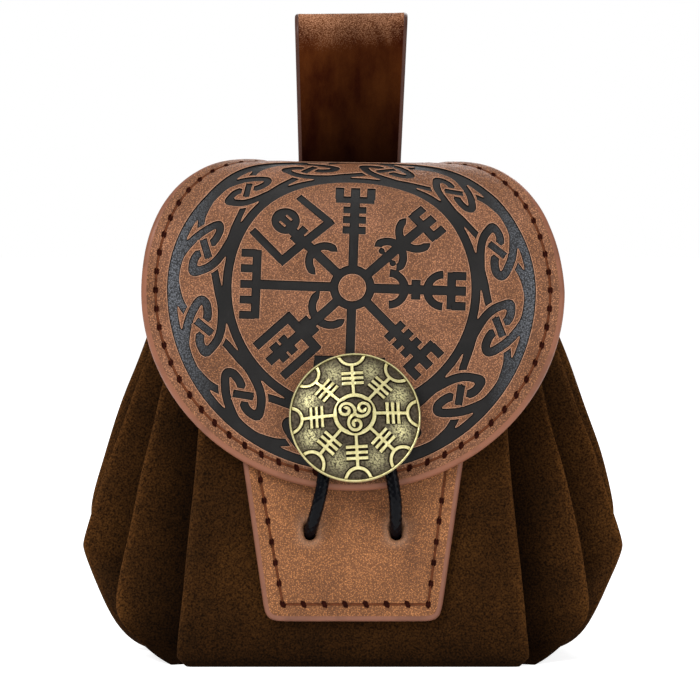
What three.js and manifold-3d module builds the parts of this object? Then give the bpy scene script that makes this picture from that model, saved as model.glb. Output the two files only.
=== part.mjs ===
// Belt bag: a pleated suede pouch with a round leather flap, a front tab, a belt loop,
// a domed brass button and an elastic closing cord. Millimetres, front to -Y, +Z up.
import * as THREE from 'three';
import { mergeVertices } from 'three/addons/utils/BufferGeometryUtils.js';
import Module from 'manifold-3d';

const wasm = await Module();
wasm.setup();

const clear = 0.3;                 // gap between neighbouring pieces
const lean = THREE.MathUtils.degToRad(11);   // the front leans back from the bottom edge
const frontY = -35.05;             // suede front panel at the bottom edge
const suedeWall = 1.6;
const tabThick = 2.6;
const flapThick = 3.0;
const strapThick = 2.6;

// Flap: heights along the leaning front, measured from the bottom edge.
const flapFace = clear + tabThick + 0.4 + flapThick;   // outer leather above the suede
const flapCentre = 103.6;
const flapHalfWide = 58.6;
const flapDrop = 55.5;             // centre to the lower edge
const rollRadius = 29.5;           // front roll over the mouth
const backRadius = 14;             // tighter bend down to the back
const neckHalf = 27;
const neckFrom = 31;               // half width where the round outline turns into the neck
const neckBlend = 9;
const tongueEnd = 78;
const tongueCorner = 9;

// Belt loop
const loopTop = 182;
const loopFold = 7.3;              // outer radius of the fold
const loopHalfTop = 16.4;
const loopHalfLow = 14.8;
const loopEnd = 88;
const loopStraightTo = 140;        // the back layer starts to come in here
const loopMeets = 114;             // and lies on the front layer below here

// Front tab
const tabLow = { at: 12.5, half: 23.9 };
const tabTop = { at: 60, half: 30.9 };
const tabCorner = 3.4;
const slot = { x: 11.85, at: 37.2, half: 2.4, reach: 3.3 };

// Cord and button
const cordRadius = 1.75;
const knotRadius = 3.2;
const cordWrap = 7.0;
const buttonAt = 67.8;
const buttonRadius = 18;
const buttonTurn = THREE.MathUtils.degToRad(3.3);
const domeRadius = 17.1;
const domeEdge = 5.3;
const domeHeight = 4.0;
const relief = 0.55;
const postRadius = 2.5;
const collarRadius = 4.8;
const capRadius = 6.5;

const leatherMaterial = (colour) => new THREE.MeshStandardMaterial({ color: colour, roughness: 0.55 });
const looks = {
  suede: new THREE.MeshStandardMaterial({ color: '#3a2412', roughness: 0.95 }),
  flap: leatherMaterial('#9a6645'),
  tab: leatherMaterial('#98653f'),
  loop: leatherMaterial('#6b4229'),
  brass: new THREE.MeshStandardMaterial({ color: '#9c8a4c', roughness: 0.4, metalness: 1 }),
  screw: new THREE.MeshStandardMaterial({ color: '#8d7f52', roughness: 0.45, metalness: 1 }),
  elastic: new THREE.MeshStandardMaterial({ color: '#17171a', roughness: 0.8 }),
};

// Frame of the leaning front: local X across, Y up the slope, Z out of the face.
const front = new THREE.Group();
front.position.set(0, frontY, 0);
front.rotation.x = Math.PI / 2 - lean;
front.updateMatrix();
const onFront = (x, up, out) => new THREE.Vector3(x, up, out).applyMatrix4(front.matrix);

function solidFrom(points, faces) {
  const geometry = new THREE.BufferGeometry();
  geometry.setAttribute('position', new THREE.Float32BufferAttribute(points.flatMap((p) => [p.x, p.y, p.z]), 3));
  geometry.setIndex(faces.flat());
  return geometry;
}

function manifoldOf(geometry) {
  const bare = geometry.clone();
  bare.deleteAttribute('normal');
  bare.deleteAttribute('uv');
  const merged = mergeVertices(bare, 1e-4);
  const vertProperties = new Float32Array(merged.attributes.position.array);
  const triVerts = new Uint32Array(merged.index.array);
  return new wasm.Manifold(new wasm.Mesh({ numProp: 3, vertProperties, triVerts }));
}

function geometryOf(solid) {
  const { vertProperties, triVerts } = solid.getMesh();
  const geometry = new THREE.BufferGeometry();
  geometry.setAttribute('position', new THREE.BufferAttribute(new Float32Array(vertProperties), 3));
  geometry.setIndex(new THREE.BufferAttribute(new Uint32Array(triVerts), 1));
  geometry.computeVertexNormals();
  return geometry;
}

function piece(name, geometry, material) {
  const mesh = new THREE.Mesh(geometry, material);
  mesh.name = name;
  return mesh;
}

// Quads between rings of equal length, each ring closed on itself.
function bandFaces(from, to, count) {
  return Array.from({ length: count }, (_, j) => {
    const k = (j + 1) % count;
    return [from + j, to + j, to + k, from + j, to + k, from + k];
  });
}

// A sheet of leather: closed cross-sections in rows along a side profile of the outer face.
function leatherSheet({ profile, rows, halfWide, thick, columns }) {
  const edge = thick * 0.3;
  const length = profile.getLength();
  const points = [];
  const faces = [];
  let size = 0;
  rows.forEach((at, i) => {
    const p = profile.getPointAt(at / length);
    const t = profile.getTangentAt(at / length);
    const half = halfWide(at);
    const place = (x, depth) => new THREE.Vector3(x, p.x + t.y * depth, p.y - t.x * depth);
    const across = Array.from({ length: columns + 1 }, (_, j) => (half - edge) * ((2 * j) / columns - 1));
    const ring = [
      ...across.map((x) => place(x, 0)),
      place(half, edge),
      place(half, thick - edge),
      ...across.map((x) => place(-x, thick)),
      place(-half, thick - edge),
      place(-half, edge),
    ];
    size = ring.length;
    points.push(...ring);
    if (i > 0) faces.push(...bandFaces((i - 1) * size, i * size, size));
  });
  const last = (rows.length - 1) * size;
  const middle = (start) => points.slice(start, start + size)
    .reduce((sum, p) => sum.add(p), new THREE.Vector3()).divideScalar(size);
  points.push(middle(0), middle(last));
  for (let j = 0; j < size; j += 1) {
    const k = (j + 1) % size;
    faces.push([points.length - 2, j, k], [points.length - 1, last + k, last + j]);
  }
  return solidFrom(points, faces.map((f) => f.reduce((all, v, n) => (n % 3 ? all : [...all, v, f[n + 2], f[n + 1]]), [])));
}

// Side profile of the flap's outer face, in (Y, Z): up the front, over the roll, down the back.
const flapLow = onFront(0, flapCentre - flapDrop, flapFace);
const rollTurn = 11.6;             // straight leather above the flap's centre
const rollStart = onFront(0, flapCentre + rollTurn, flapFace);
const rollY = rollStart.y + rollRadius * Math.cos(lean);
const rollZ = rollStart.z - rollRadius * Math.sin(lean);
const topZ = rollZ + rollRadius;
const backY = rollY + backRadius;
const flapSide = new THREE.Path()
  .moveTo(flapLow.y, flapLow.z)
  .lineTo(rollStart.y, rollStart.z)
  .absarc(rollY, rollZ, rollRadius, Math.PI - lean, Math.PI / 2, true)
  .absarc(rollY, topZ - backRadius, backRadius, Math.PI / 2, 0, true)
  .lineTo(backY, tongueEnd);
const flapLong = flapSide.getLength();

const neckAt = Math.sqrt(flapHalfWide ** 2 - neckFrom ** 2);
function flapHalf(at) {
  const t = at - flapDrop;         // up from the flap's centre
  if (t <= 0) return flapHalfWide * Math.sqrt(Math.max(0, 1 - (t / flapDrop) ** 2));
  if (t <= neckAt) return Math.sqrt(flapHalfWide ** 2 - t ** 2);
  if (t <= neckAt + neckBlend) {
    const u = (t - neckAt) / neckBlend;
    const slope = (-neckAt / neckFrom) * neckBlend;
    return neckHalf + (neckFrom - neckHalf) * (1 - 3 * u * u + 2 * u ** 3) + slope * (u - 2 * u * u + u ** 3);
  }
  const left = flapLong - at;
  if (left >= tongueCorner) return neckHalf;
  return neckHalf - tongueCorner + Math.sqrt(tongueCorner ** 2 - (tongueCorner - left) ** 2);
}

const steps = (count, make) => Array.from({ length: count + 1 }, (_, i) => make(i / count));
const flapRows = [
  ...steps(13, (u) => flapDrop * (1 - Math.cos(0.1 + (Math.PI / 2 - 0.1) * u))),
  ...steps(12, (u) => flapDrop + neckAt * u).slice(1),
  ...steps(4, (u) => flapDrop + neckAt + neckBlend * u).slice(1),
  ...steps(5, (u) => flapDrop + neckAt + neckBlend + 14 * u).slice(1),
  ...steps(4, (u) => flapLong - tongueCorner * (1 - Math.sin(u * Math.PI / 2))),
];

// Round cutter along the front's normal, for the button's post.
function frontRod(radius, x, up, from, to) {
  const rod = new THREE.CylinderGeometry(radius, radius, to - from, 24);
  rod.rotateX(Math.PI / 2);
  rod.translate(x, up, (from + to) / 2);
  return rod.applyMatrix4(front.matrix);
}

const flapGeometry = geometryOf(
  manifoldOf(leatherSheet({ profile: flapSide, rows: flapRows, halfWide: flapHalf, thick: flapThick, columns: 6 }))
    .subtract(manifoldOf(frontRod(postRadius + 0.4, 0, buttonAt, 0, flapFace + 4))),
);

// Belt loop: up the back of the flap, over the fold, down, in to the front layer and down to its end.
const loopFront = backY + clear;
const loopBack = loopFront + 2 * loopFold;
const loopLies = loopFront + 2 * strapThick + clear;
const loopSide = new THREE.Path()
  .moveTo(loopFront, loopEnd)
  .lineTo(loopFront, loopTop - loopFold)
  .absarc(loopFront + loopFold, loopTop - loopFold, loopFold, Math.PI, 0, true)
  .lineTo(loopBack, loopStraightTo)
  .bezierCurveTo(loopBack, loopStraightTo - 12, loopLies, loopMeets + 12, loopLies, loopMeets)
  .lineTo(loopLies, loopEnd);
const loopLong = loopSide.getLength();
const loopHalf = (at) => {
  const z = loopSide.getPointAt(at / loopLong).y;
  return THREE.MathUtils.mapLinear(THREE.MathUtils.clamp(z, topZ, loopTop), topZ, loopTop, loopHalfLow, loopHalfTop);
};
const foldAt = loopTop - loopFold - loopEnd;
const foldLong = Math.PI * loopFold;
const comeIn = foldAt + foldLong + (loopTop - loopFold - loopStraightTo);
const loopRows = [
  0,
  topZ - loopEnd,
  ...steps(12, (u) => foldAt + foldLong * u),
  ...steps(8, (u) => comeIn + (loopLong - (loopMeets - loopEnd) - comeIn) * u),
  loopLong,
];
const loopGeometry = leatherSheet({ profile: loopSide, rows: loopRows, halfWide: loopHalf, thick: strapThick, columns: 2 });

// Tab: a trapezoid with rounded lower corners and two slots, drawn on the leaning front.
function slotPath(x) {
  const path = new THREE.Path();
  const run = slot.reach - slot.half;
  path.absarc(x, slot.at + run, slot.half, 0, Math.PI, false);
  path.absarc(x, slot.at - run, slot.half, Math.PI, 2 * Math.PI, false);
  path.closePath();
  return path;
}

function tabShape() {
  const shape = new THREE.Shape();
  const side = (tabTop.half - tabLow.half) / (tabTop.at - tabLow.at);
  shape.moveTo(-tabTop.half, tabTop.at);
  shape.lineTo(-tabLow.half - side * tabCorner, tabLow.at + tabCorner);
  shape.quadraticCurveTo(-tabLow.half, tabLow.at, -tabLow.half + tabCorner, tabLow.at);
  shape.lineTo(tabLow.half - tabCorner, tabLow.at);
  shape.quadraticCurveTo(tabLow.half, tabLow.at, tabLow.half + side * tabCorner, tabLow.at + tabCorner);
  shape.lineTo(tabTop.half, tabTop.at);
  shape.closePath();
  shape.holes.push(slotPath(-slot.x), slotPath(slot.x));
  return shape;
}
const tabGeometry = new THREE.ExtrudeGeometry(tabShape(), { depth: tabThick, bevelEnabled: false, curveSegments: 6 });
tabGeometry.translate(0, 0, clear);

// Pleats of the right half, from the front panel's edge round to the back corner. Each row gives the
// fold line at the mouth, the belly and its lower tip, and the place on the flat bottom it runs to.
const foldTable = [
  { fold: 'panelEdge', mouth: [41, 0, 112], belly: [45.2, 0, 47], tip: [48.4, 0, 2], floor: [46.4, -33.2], sag: 1, cut: 3.2 },
  { fold: 'panelTuck', mouth: [34.5, -4, 112], belly: [37.5, -14, 47], tip: [42.5, -25, 1.6], floor: [42.4, -27], sag: 1, cut: 2 },
  { fold: 'firstRidge', mouth: [45, -3, 112], belly: [62.2, -14.5, 46], tip: [68.5, -19, 11.4], floor: [52, -26], sag: 1.25, cut: 3.2 },
  { fold: 'firstTuck', mouth: [37.5, 2.5, 113], belly: [52.5, -5.5, 46], tip: [59, -9.5, 13], floor: [44, -9.5], sag: 1.8, cut: 2 },
  { fold: 'secondRidge', mouth: [48.5, 6, 114], belly: [72.2, -3, 47], tip: [77, -4, 30], floor: [52, -3.5], sag: 2.8, cut: 3 },
  { fold: 'secondTuck', mouth: [41, 10, 115], belly: [61.5, 3.5, 49], tip: [66, 4, 28], floor: [44, 3], sag: 2.4, cut: 2 },
  { fold: 'thirdRidge', mouth: [48.3, 13.5, 117], belly: [71.8, 9, 57], tip: [74.6, 10, 39], floor: [47, 9], sag: 2.6, cut: 2.8 },
  { fold: 'backTuck', mouth: [40.5, 16, 118], belly: [60, 14.6, 52], tip: [62, 14, 30], floor: [40, 12], sag: 2.2, cut: 1.6 },
  { fold: 'backCorner', mouth: [43.5, 20.4, 120], belly: [61, 20.4, 52], tip: [62, 19.6, 26], floor: [41, 17], sag: 2, cut: 2.2 },
  { fold: 'backMiddle', mouth: [21, 20.4, 120], belly: [30, 20.4, 52], tip: [30, 19.6, 10], floor: [21, 17], sag: 1.6, cut: 0 },
];
const sideRows = 8;
const underRows = 3;
const cutSteps = 3;

// A fold line runs smoothly through mouth, belly and tip (0 to 1), then sags in to the bottom (1 to 2).
function foldPoint(row, v) {
  if (v <= 1) {
    const weights = [2 * (v - 0.5) * (v - 1), -4 * v * (v - 1), 2 * v * (v - 0.5)];
    const at = (n) => weights[0] * row.mouth[n] + weights[1] * row.belly[n] + weights[2] * row.tip[n];
    const z = at(2);
    return new THREE.Vector3(at(0), row.fold === 'panelEdge' ? frontY + z * Math.tan(lean) : at(1), z);
  }
  const tip = foldPoint(row, 1);
  const w = v - 1;
  const spot = tip.clone().lerp(new THREE.Vector3(row.floor[0], row.floor[1], 0), w);
  spot.z = tip.z * (1 - w) ** row.sag;
  return spot;
}

// One closed ring round the pouch, with every fold softened by a short curve.
function pouchRing(v) {
  const right = foldTable.map((row) => ({ spot: foldPoint(row, v), cut: row.cut }));
  const mirror = ({ spot, cut }) => ({ spot: new THREE.Vector3(-spot.x, spot.y, spot.z), cut });
  const centre = (from) => ({ spot: from.spot.clone().setX(0), cut: 0 });
  const halfPanel = { spot: right[0].spot.clone().setX(right[0].spot.x / 2), cut: 0 };
  const corners = [
    centre(right[0]), halfPanel, ...right, centre(right.at(-1)),
    ...right.map(mirror).reverse(), mirror(halfPanel),
  ];
  return corners.flatMap(({ spot, cut }, i) => {
    if (!cut) return [spot];
    const before = corners.at(i - 1).spot;
    const after = corners[(i + 1) % corners.length].spot;
    const toward = (other) => spot.clone().lerp(other, Math.min(0.45, cut / spot.distanceTo(other)));
    return new THREE.QuadraticBezierCurve3(toward(before), spot, toward(after)).getPoints(cutSteps);
  });
}

function pouchGeometry() {
  const levels = [...steps(sideRows, (u) => u), ...steps(underRows, (u) => 1 + u).slice(1)];
  const rings = levels.map(pouchRing);
  const count = rings[0].length;
  const outer = rings.flat();
  const flat = THREE.ShapeUtils.triangulateShape(rings.at(-1).map((p) => new THREE.Vector2(p.x, p.y)), []);
  const base = (rings.length - 1) * count;
  const wallFaces = rings.slice(1).flatMap((_, i) => bandFaces(i * count, (i + 1) * count, count));
  const floorFaces = flat.map(([a, b, c]) => [base + a, base + c, base + b]);
  const skin = solidFrom(outer, [...wallFaces, ...floorFaces]);
  skin.computeVertexNormals();
  const normal = new THREE.Vector3();
  const inner = outer.map((p, i) => {
    normal.fromBufferAttribute(skin.attributes.normal, i);
    const inside = p.clone().addScaledVector(normal, -suedeWall);
    return inside.setZ(i < count ? p.z : Math.max(inside.z, suedeWall));
  });
  const turned = [...wallFaces, ...floorFaces]
    .map((f) => f.map((v, n) => outer.length + f[n - (n % 3) + [0, 2, 1][n % 3]]));
  const rim = bandFaces(outer.length, 0, count);
  return solidFrom([...outer, ...inner], [...wallFaces, ...floorFaces, ...turned, ...rim]);
}

const slotCutter = (x) => {
  const shape = new THREE.Shape(slotPath(x).getPoints(6));
  const cutter = new THREE.ExtrudeGeometry(shape, { depth: 14, bevelEnabled: false });
  cutter.translate(0, 0, -7);
  return manifoldOf(cutter.applyMatrix4(front.matrix));
};
const pouch = geometryOf(manifoldOf(pouchGeometry()).subtract(slotCutter(-slot.x)).subtract(slotCutter(slot.x)));

// Cord: out of the pouch, up over the flap's edge, round the post and back the same way.
// Sway is how far the loop is pushed to the right.
const cordRun = [
  { x: slot.x, up: 35.2, out: -6.5, sway: 0 },
  { x: slot.x, up: 36.1, out: -1.4, sway: 0 },
  { x: slot.x - 0.15, up: 37.4, out: 2.2, sway: 0 },
  { x: slot.x - 0.65, up: 40.2, out: 5.7, sway: 0.5 },
  { x: slot.x - 1.35, up: 44.6, out: 8.0, sway: 1.1 },
  { x: slot.x - 2.25, up: 50, out: 8.5, sway: 1.3 },
  { x: slot.x - 3.25, up: 57, out: 8.5, sway: 0.9 },
  { x: cordWrap + 0.5, up: 63.5, out: 8.5, sway: 0.3 },
];
const cordRise = 8.5;
const wrapArc = steps(6, (u) => new THREE.Vector3(
  -cordWrap * Math.cos(Math.PI * u),
  buttonAt + cordWrap * Math.sin(Math.PI * u),
  cordRise,
));
const cordLine = new THREE.CatmullRomCurve3([
  ...cordRun.map((p) => new THREE.Vector3(p.sway - p.x, p.up, p.out)),
  ...wrapArc,
  ...cordRun.map((p) => new THREE.Vector3(p.sway + p.x, p.up, p.out)).reverse(),
]);
const roundSection = new THREE.Shape(steps(8, (u) => new THREE.Vector2(
  cordRadius * Math.cos(2 * Math.PI * u),
  cordRadius * Math.sin(2 * Math.PI * u),
)).slice(0, 8));
const cordTube = new THREE.ExtrudeGeometry(roundSection, { extrudePath: cordLine, steps: 48, bevelEnabled: false });
const knotAt = (side) => {
  const knot = new THREE.IcosahedronGeometry(knotRadius, 1);
  knot.translate(side * cordRun[0].x, cordRun[0].up, cordRun[0].out);
  return manifoldOf(knot);
};
const cordGeometry = geometryOf(manifoldOf(cordTube).add(knotAt(-1)).add(knotAt(1)));

// Button: a domed shell on a collar and post, turned about the front's normal.
const ground = (r) => domeEdge + domeHeight * (1 - (r / domeRadius) ** 2);
const lathe = (profile, sides) => {
  const turned = new THREE.LatheGeometry(profile.map(([r, z]) => new THREE.Vector2(r, z)), sides);
  turned.rotateX(Math.PI / 2);
  return manifoldOf(turned);
};
const domeSteps = (lift, from, to) => steps(4, (u) => from + (to - from) * u).map((r) => [r, ground(r) + lift]);
const buttonBody = lathe([
  [0, -flapThick], [postRadius, -flapThick], [postRadius, clear], [collarRadius, clear], [collarRadius, 6.6],
  [9, 6.1], [13.5, 5.2], [17, 4.2], [17.6, 4.2], [buttonRadius, 4.6], [buttonRadius, 5.5], [17.7, 5.8],
  [17.2, 5.8], ...domeSteps(0, domeRadius, 0),
], 32);
const reliefShell = lathe([
  ...domeSteps(-0.4, 0, 17.4), ...domeSteps(relief, 17.4, 0),
], 32);

function stroke(points, width) {
  const sides = [1, -1].map((side) => points.map((p, i) => {
    const a = points[Math.max(0, i - 1)];
    const b = points[Math.min(points.length - 1, i + 1)];
    const along = b.clone().sub(a).normalize();
    return new THREE.Vector2(p.x - along.y * side * width / 2, p.y + along.x * side * width / 2);
  }));
  const shape = new THREE.Shape([...sides[1], ...sides[0].reverse()]);
  return manifoldOf(new THREE.ExtrudeGeometry(shape, { depth: 12, bevelEnabled: false }));
}
const polar = (r, a) => new THREE.Vector2(r * Math.cos(a), r * Math.sin(a));
const staves = { stem: 0.95, bar: 0.8, barHalf: 2.95, barsAt: [8.9, 10.4, 11.9], arc: 3.3, arcWide: 0.85 };
const hub = { radius: 5.3, wide: 0.95 };
const triskele = { arm: 2.9, inner: 0.5, sweep: THREE.MathUtils.degToRad(450), wide: 0.8, from: THREE.MathUtils.degToRad(155) };

const strokes = [stroke(steps(24, (u) => polar(hub.radius, 2 * Math.PI * u * 0.9999)), hub.wide)];
for (let n = 0; n < 8; n += 1) {
  const angle = (n * Math.PI) / 4;
  const turn = (x, y) => new THREE.Vector2(x, y).rotateAround(new THREE.Vector2(), angle);
  strokes.push(stroke([turn(hub.radius, 0), turn(buttonRadius - staves.arc, 0)], staves.stem));
  staves.barsAt.forEach((r) => strokes.push(stroke([turn(r, -staves.barHalf), turn(r, staves.barHalf)], staves.bar)));
  strokes.push(stroke(steps(8, (u) => {
    const p = polar(staves.arc, Math.PI * (0.45 + 1.1 * u));
    return turn(buttonRadius + p.x, p.y);
  }), staves.arcWide));
}
for (let n = 0; n < 3; n += 1) {
  const at = triskele.from + (n * 2 * Math.PI) / 3;
  const middle = polar(triskele.arm, at);
  strokes.push(stroke(steps(15, (u) => {
    const r = triskele.arm + (triskele.inner - triskele.arm) * u;
    return middle.clone().add(polar(r, at + Math.PI + triskele.sweep * u));
  }), triskele.wide));
}
const reliefLines = wasm.Manifold.union(strokes).intersect(reliefShell);
const buttonGeometry = geometryOf(buttonBody.add(reliefLines));
buttonGeometry.rotateZ(buttonTurn);
buttonGeometry.translate(0, buttonAt, flapFace);

const screwGeometry = geometryOf(lathe([
  [0, -1.8], [5.9, -1.8], [capRadius, -1.3], [capRadius, 0], [0, 0],
], 24));
screwGeometry.translate(0, buttonAt, flapFace - flapThick - clear);

front.add(
  piece('front_tab', tabGeometry, looks.tab),
  piece('button', buttonGeometry, looks.brass),
  piece('button_back_screw', screwGeometry, looks.screw),
  piece('closure_cord', cordGeometry, looks.elastic),
);
const beltBag = new THREE.Group();
beltBag.add(
  piece('pouch_body', pouch, looks.suede),
  piece('flap', flapGeometry, looks.flap),
  piece('belt_loop', loopGeometry, looks.loop),
  front,
);

export default beltBag;
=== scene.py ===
from bisect import bisect_right
from math import asin, atan2, copysign, cos, degrees, exp, floor, pi, radians, sin, sqrt, tan

import bmesh
import bpy
from mathutils import Matrix, Vector, noise
from mathutils.geometry import delaunay_2d_cdt, interpolate_bezier
from mathutils.kdtree import KDTree


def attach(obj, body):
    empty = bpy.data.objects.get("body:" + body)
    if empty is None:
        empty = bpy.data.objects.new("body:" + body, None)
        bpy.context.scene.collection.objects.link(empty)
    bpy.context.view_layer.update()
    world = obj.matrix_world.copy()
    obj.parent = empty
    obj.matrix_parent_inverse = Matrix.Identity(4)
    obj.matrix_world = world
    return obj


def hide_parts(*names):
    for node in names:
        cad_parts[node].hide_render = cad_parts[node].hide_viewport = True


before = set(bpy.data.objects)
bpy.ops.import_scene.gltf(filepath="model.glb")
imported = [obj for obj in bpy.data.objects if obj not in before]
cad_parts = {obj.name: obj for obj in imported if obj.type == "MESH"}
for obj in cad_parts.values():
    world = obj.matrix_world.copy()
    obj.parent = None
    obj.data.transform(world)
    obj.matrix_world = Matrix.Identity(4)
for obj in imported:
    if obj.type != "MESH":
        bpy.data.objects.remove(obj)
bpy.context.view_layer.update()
mm = 0.001                      # pieces are drawn in millimetres and brought to metres at the end
white = (1, 1, 1, 1)

# the pouch front leans back: across, up the slope, out of the face
front = {"y": -35.05, "lean": radians(11), "flapFace": 6.3, "tabFace": 2.9, "buttonUp": 67.8}


def onFront(x, up, out):
    s, c = sin(front["lean"]), cos(front["lean"])
    return Vector((x, front["y"] + up * s - out * c, up * c + out * s))


def clamp(value, low=0, high=1):
    return min(max(value, low), high)


def around(angle, radius):
    return Vector((cos(angle), sin(angle))) * radius


def smoothRun(points, steps):   # soft curve through a few points
    spots = [Vector(p) for p in points]
    spots = [2 * spots[0] - spots[1]] + spots + [2 * spots[-1] - spots[-2]]
    run = []
    for a, b, c, d in zip(spots, spots[1:], spots[2:], spots[3:]):
        for i in range(steps):
            u = i / steps
            bow = (2 * a - 5 * b + 4 * c - d) * u * u + (3 * b - a - 3 * c + d) * u ** 3
            run.append(0.5 * (2 * b + (c - a) * u + bow))
    return run + [spots[-2]]


def runLengths(run):
    lengths = [0.0]
    for a, b in zip(run, run[1:]):
        lengths.append(lengths[-1] + (b - a).length)
    return lengths


def evenRun(run, step):         # the same line with evenly spaced points
    lengths = runLengths(run)
    count = max(2, round(lengths[-1] / step))
    made = []
    for i in range(count + 1):
        at = lengths[-1] * i / count
        j = clamp(bisect_right(lengths, at) - 1, 0, len(run) - 2)
        made.append(run[j].lerp(run[j + 1], (at - lengths[j]) / max(1e-9, lengths[j + 1] - lengths[j])))
    return made


def evenLoop(loop, step):
    return evenRun(loop + [loop[0]], step)[:-1]


def headings(run):              # which way an open line runs at each of its points
    last = len(run) - 1
    return [(run[min(i + 1, last)] - run[max(i - 1, 0)]).normalized() for i in range(len(run))]


def addObject(name, data):
    made = bpy.data.objects.new(name, data)
    bpy.context.collection.objects.link(made)
    return made


def intoMesh(bm, name, materials=()):
    mesh = bpy.data.meshes.new(name)
    bm.to_mesh(mesh)
    bm.free()
    for material in materials:
        mesh.materials.append(material)
    return mesh


def standAt(thing, at, aim):    # for the camera and the lamps
    thing.location = Vector(at) * mm
    thing.rotation_euler = (Vector(aim) - Vector(at)).to_track_quat("-Z", "Y").to_euler()


# Camera
cameraSpec = {"at": (-0.82, -934, 137), "aim": (-0.82, -34, 87), "lens": 170}


def setCamera():
    data = bpy.data.cameras.new("camera")
    data.lens = cameraSpec["lens"]
    eye = addObject("camera", data)
    standAt(eye, cameraSpec["at"], cameraSpec["aim"])
    bpy.context.scene.camera = eye


# Node helpers
def tone(red, green, blue):     # screen colour to the linear value a socket takes
    def linear(c):
        c /= 255
        return c / 12.92 if c <= 0.04045 else ((c + 0.055) / 1.055) ** 2.4
    return (linear(red), linear(green), linear(blue), 1)


def node(tree, kind, sockets, **settings):
    made = tree.nodes.new(kind)
    for name, value in settings.items():
        setattr(made, name, value)
    for name, value in sockets.items():
        if isinstance(value, bpy.types.NodeSocket):
            tree.links.new(value, made.inputs[name])
        else:
            made.inputs[name].default_value = value
    return made


def maths(tree, operation, first, second=0.0):
    return node(tree, "ShaderNodeMath", {0: first, 1: second}, operation=operation).outputs[0]


def mixColour(tree, share, first, second, blend="MIX"):
    made = node(tree, "ShaderNodeMix", {0: share, 6: first, 7: second}, data_type="RGBA", blend_type=blend)
    return made.outputs[2]


def tinted(tree, colour, share):
    grey = node(tree, "ShaderNodeCombineXYZ", {"X": share, "Y": share, "Z": share}).outputs[0]
    return mixColour(tree, 1.0, colour, grey, "MULTIPLY")


def spread(tree, value, low, high, toLow=0.0, toHigh=1.0):
    made = node(tree, "ShaderNodeMapRange", {
        "Value": value, "From Min": low, "From Max": high, "To Min": toLow, "To Max": toHigh})
    return made.outputs["Result"]


def objectPlace(tree):
    return node(tree, "ShaderNodeTexCoord", {}).outputs["Object"]


def axes(tree, place):
    return node(tree, "ShaderNodeSeparateXYZ", {"Vector": place}).outputs


def cloud(tree, place, scale, detail, roughness=0.5):
    sockets = {"Vector": place, "Scale": scale, "Detail": detail, "Roughness": roughness}
    return node(tree, "ShaderNodeTexNoise", sockets).outputs["Fac"]


def painted(tree, name):        # a mask stored on the mesh
    return node(tree, "ShaderNodeAttribute", {}, attribute_name=name).outputs["Fac"]


def newGroup(name, inputs, outputs):
    tree = bpy.data.node_groups.new(name, "ShaderNodeTree")
    for way, labels in (("INPUT", inputs), ("OUTPUT", outputs)):
        for label, kind in labels.items():
            tree.interface.new_socket(name=label, in_out=way, socket_type="NodeSocket" + kind)
    return tree, tree.nodes.new("NodeGroupInput").outputs, tree.nodes.new("NodeGroupOutput").inputs


def useGroup(tree, group, sockets):
    return node(tree, "ShaderNodeGroup", sockets, node_tree=group).outputs


def newMaterial(name, constants):
    material = bpy.data.materials.new(name)
    material.use_nodes = True
    shader = material.node_tree.nodes["Principled BSDF"]
    for label, value in constants.items():
        shader.inputs[label].default_value = value
    return material, material.node_tree, shader.inputs


def bumpInto(tree, shader, height, strength, distance):
    made = node(tree, "ShaderNodeBump", {"Height": height, "Strength": strength, "Distance": distance * mm})
    tree.links.new(made.outputs["Normal"], shader["Normal"])


# Shared effects
grainSpec = {"finer": 2.1, "dome": (0.05, 0.75, 1.0, 0.0), "grit": (0.3, 0.7), "gritShare": 0.45,
             "tops": (0.25, 0.8)}
blotchSpec = {"cloud": (4.0, 0.6), "low": (0.32, 0.5), "high": (0.5, 0.68)}
tarnishSpec = {"cloud": (5.0, 0.7), "mask": (0.36, 0.62)}


def makePebbleGrain():          # rounded leather pebbles: height, and light tops against dark creases
    tree, given, out = newGroup("pebbleGrain", {"Scale": "Float"}, {"Height": "Float", "Tops": "Float"})
    place = objectPlace(tree)
    cells = node(tree, "ShaderNodeTexVoronoi", {"Vector": place, "Scale": given["Scale"]})
    grit = cloud(tree, place, maths(tree, "MULTIPLY", given["Scale"], grainSpec["finer"]), 2.0)
    dome = spread(tree, cells.outputs["Distance"], *grainSpec["dome"])
    rough = spread(tree, grit, *grainSpec["grit"])
    both = node(tree, "ShaderNodeMix", {0: grainSpec["gritShare"], 2: dome, 3: rough}).outputs[0]
    tree.links.new(both, out["Height"])
    tree.links.new(spread(tree, both, *grainSpec["tops"]), out["Tops"])
    return tree


def makeBlotch():               # slow drift between three dye tones
    dyes = {"Dark": "Color", "Middle": "Color", "Light": "Color"}
    tree, given, out = newGroup("dyeBlotch", {"Scale": "Float", **dyes}, {"Color": "Color"})
    drift = cloud(tree, objectPlace(tree), given["Scale"], *blotchSpec["cloud"])
    low, high = spread(tree, drift, *blotchSpec["low"]), spread(tree, drift, *blotchSpec["high"])
    dark = mixColour(tree, low, given["Dark"], given["Middle"])
    tree.links.new(mixColour(tree, high, dark, given["Light"]), out["Color"])
    return tree


def makeTarnish():              # mottled patina mask for the brass
    tree, given, out = newGroup("tarnish", {"Scale": "Float"}, {"Mask": "Float"})
    spots = cloud(tree, objectPlace(tree), given["Scale"], *tarnishSpec["cloud"])
    tree.links.new(spread(tree, spots, *tarnishSpec["mask"]), out["Mask"])
    return tree


pebbleGrain = makePebbleGrain()
dyeBlotch = makeBlotch()
tarnish = makeTarnish()
print("shared effects made")


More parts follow.
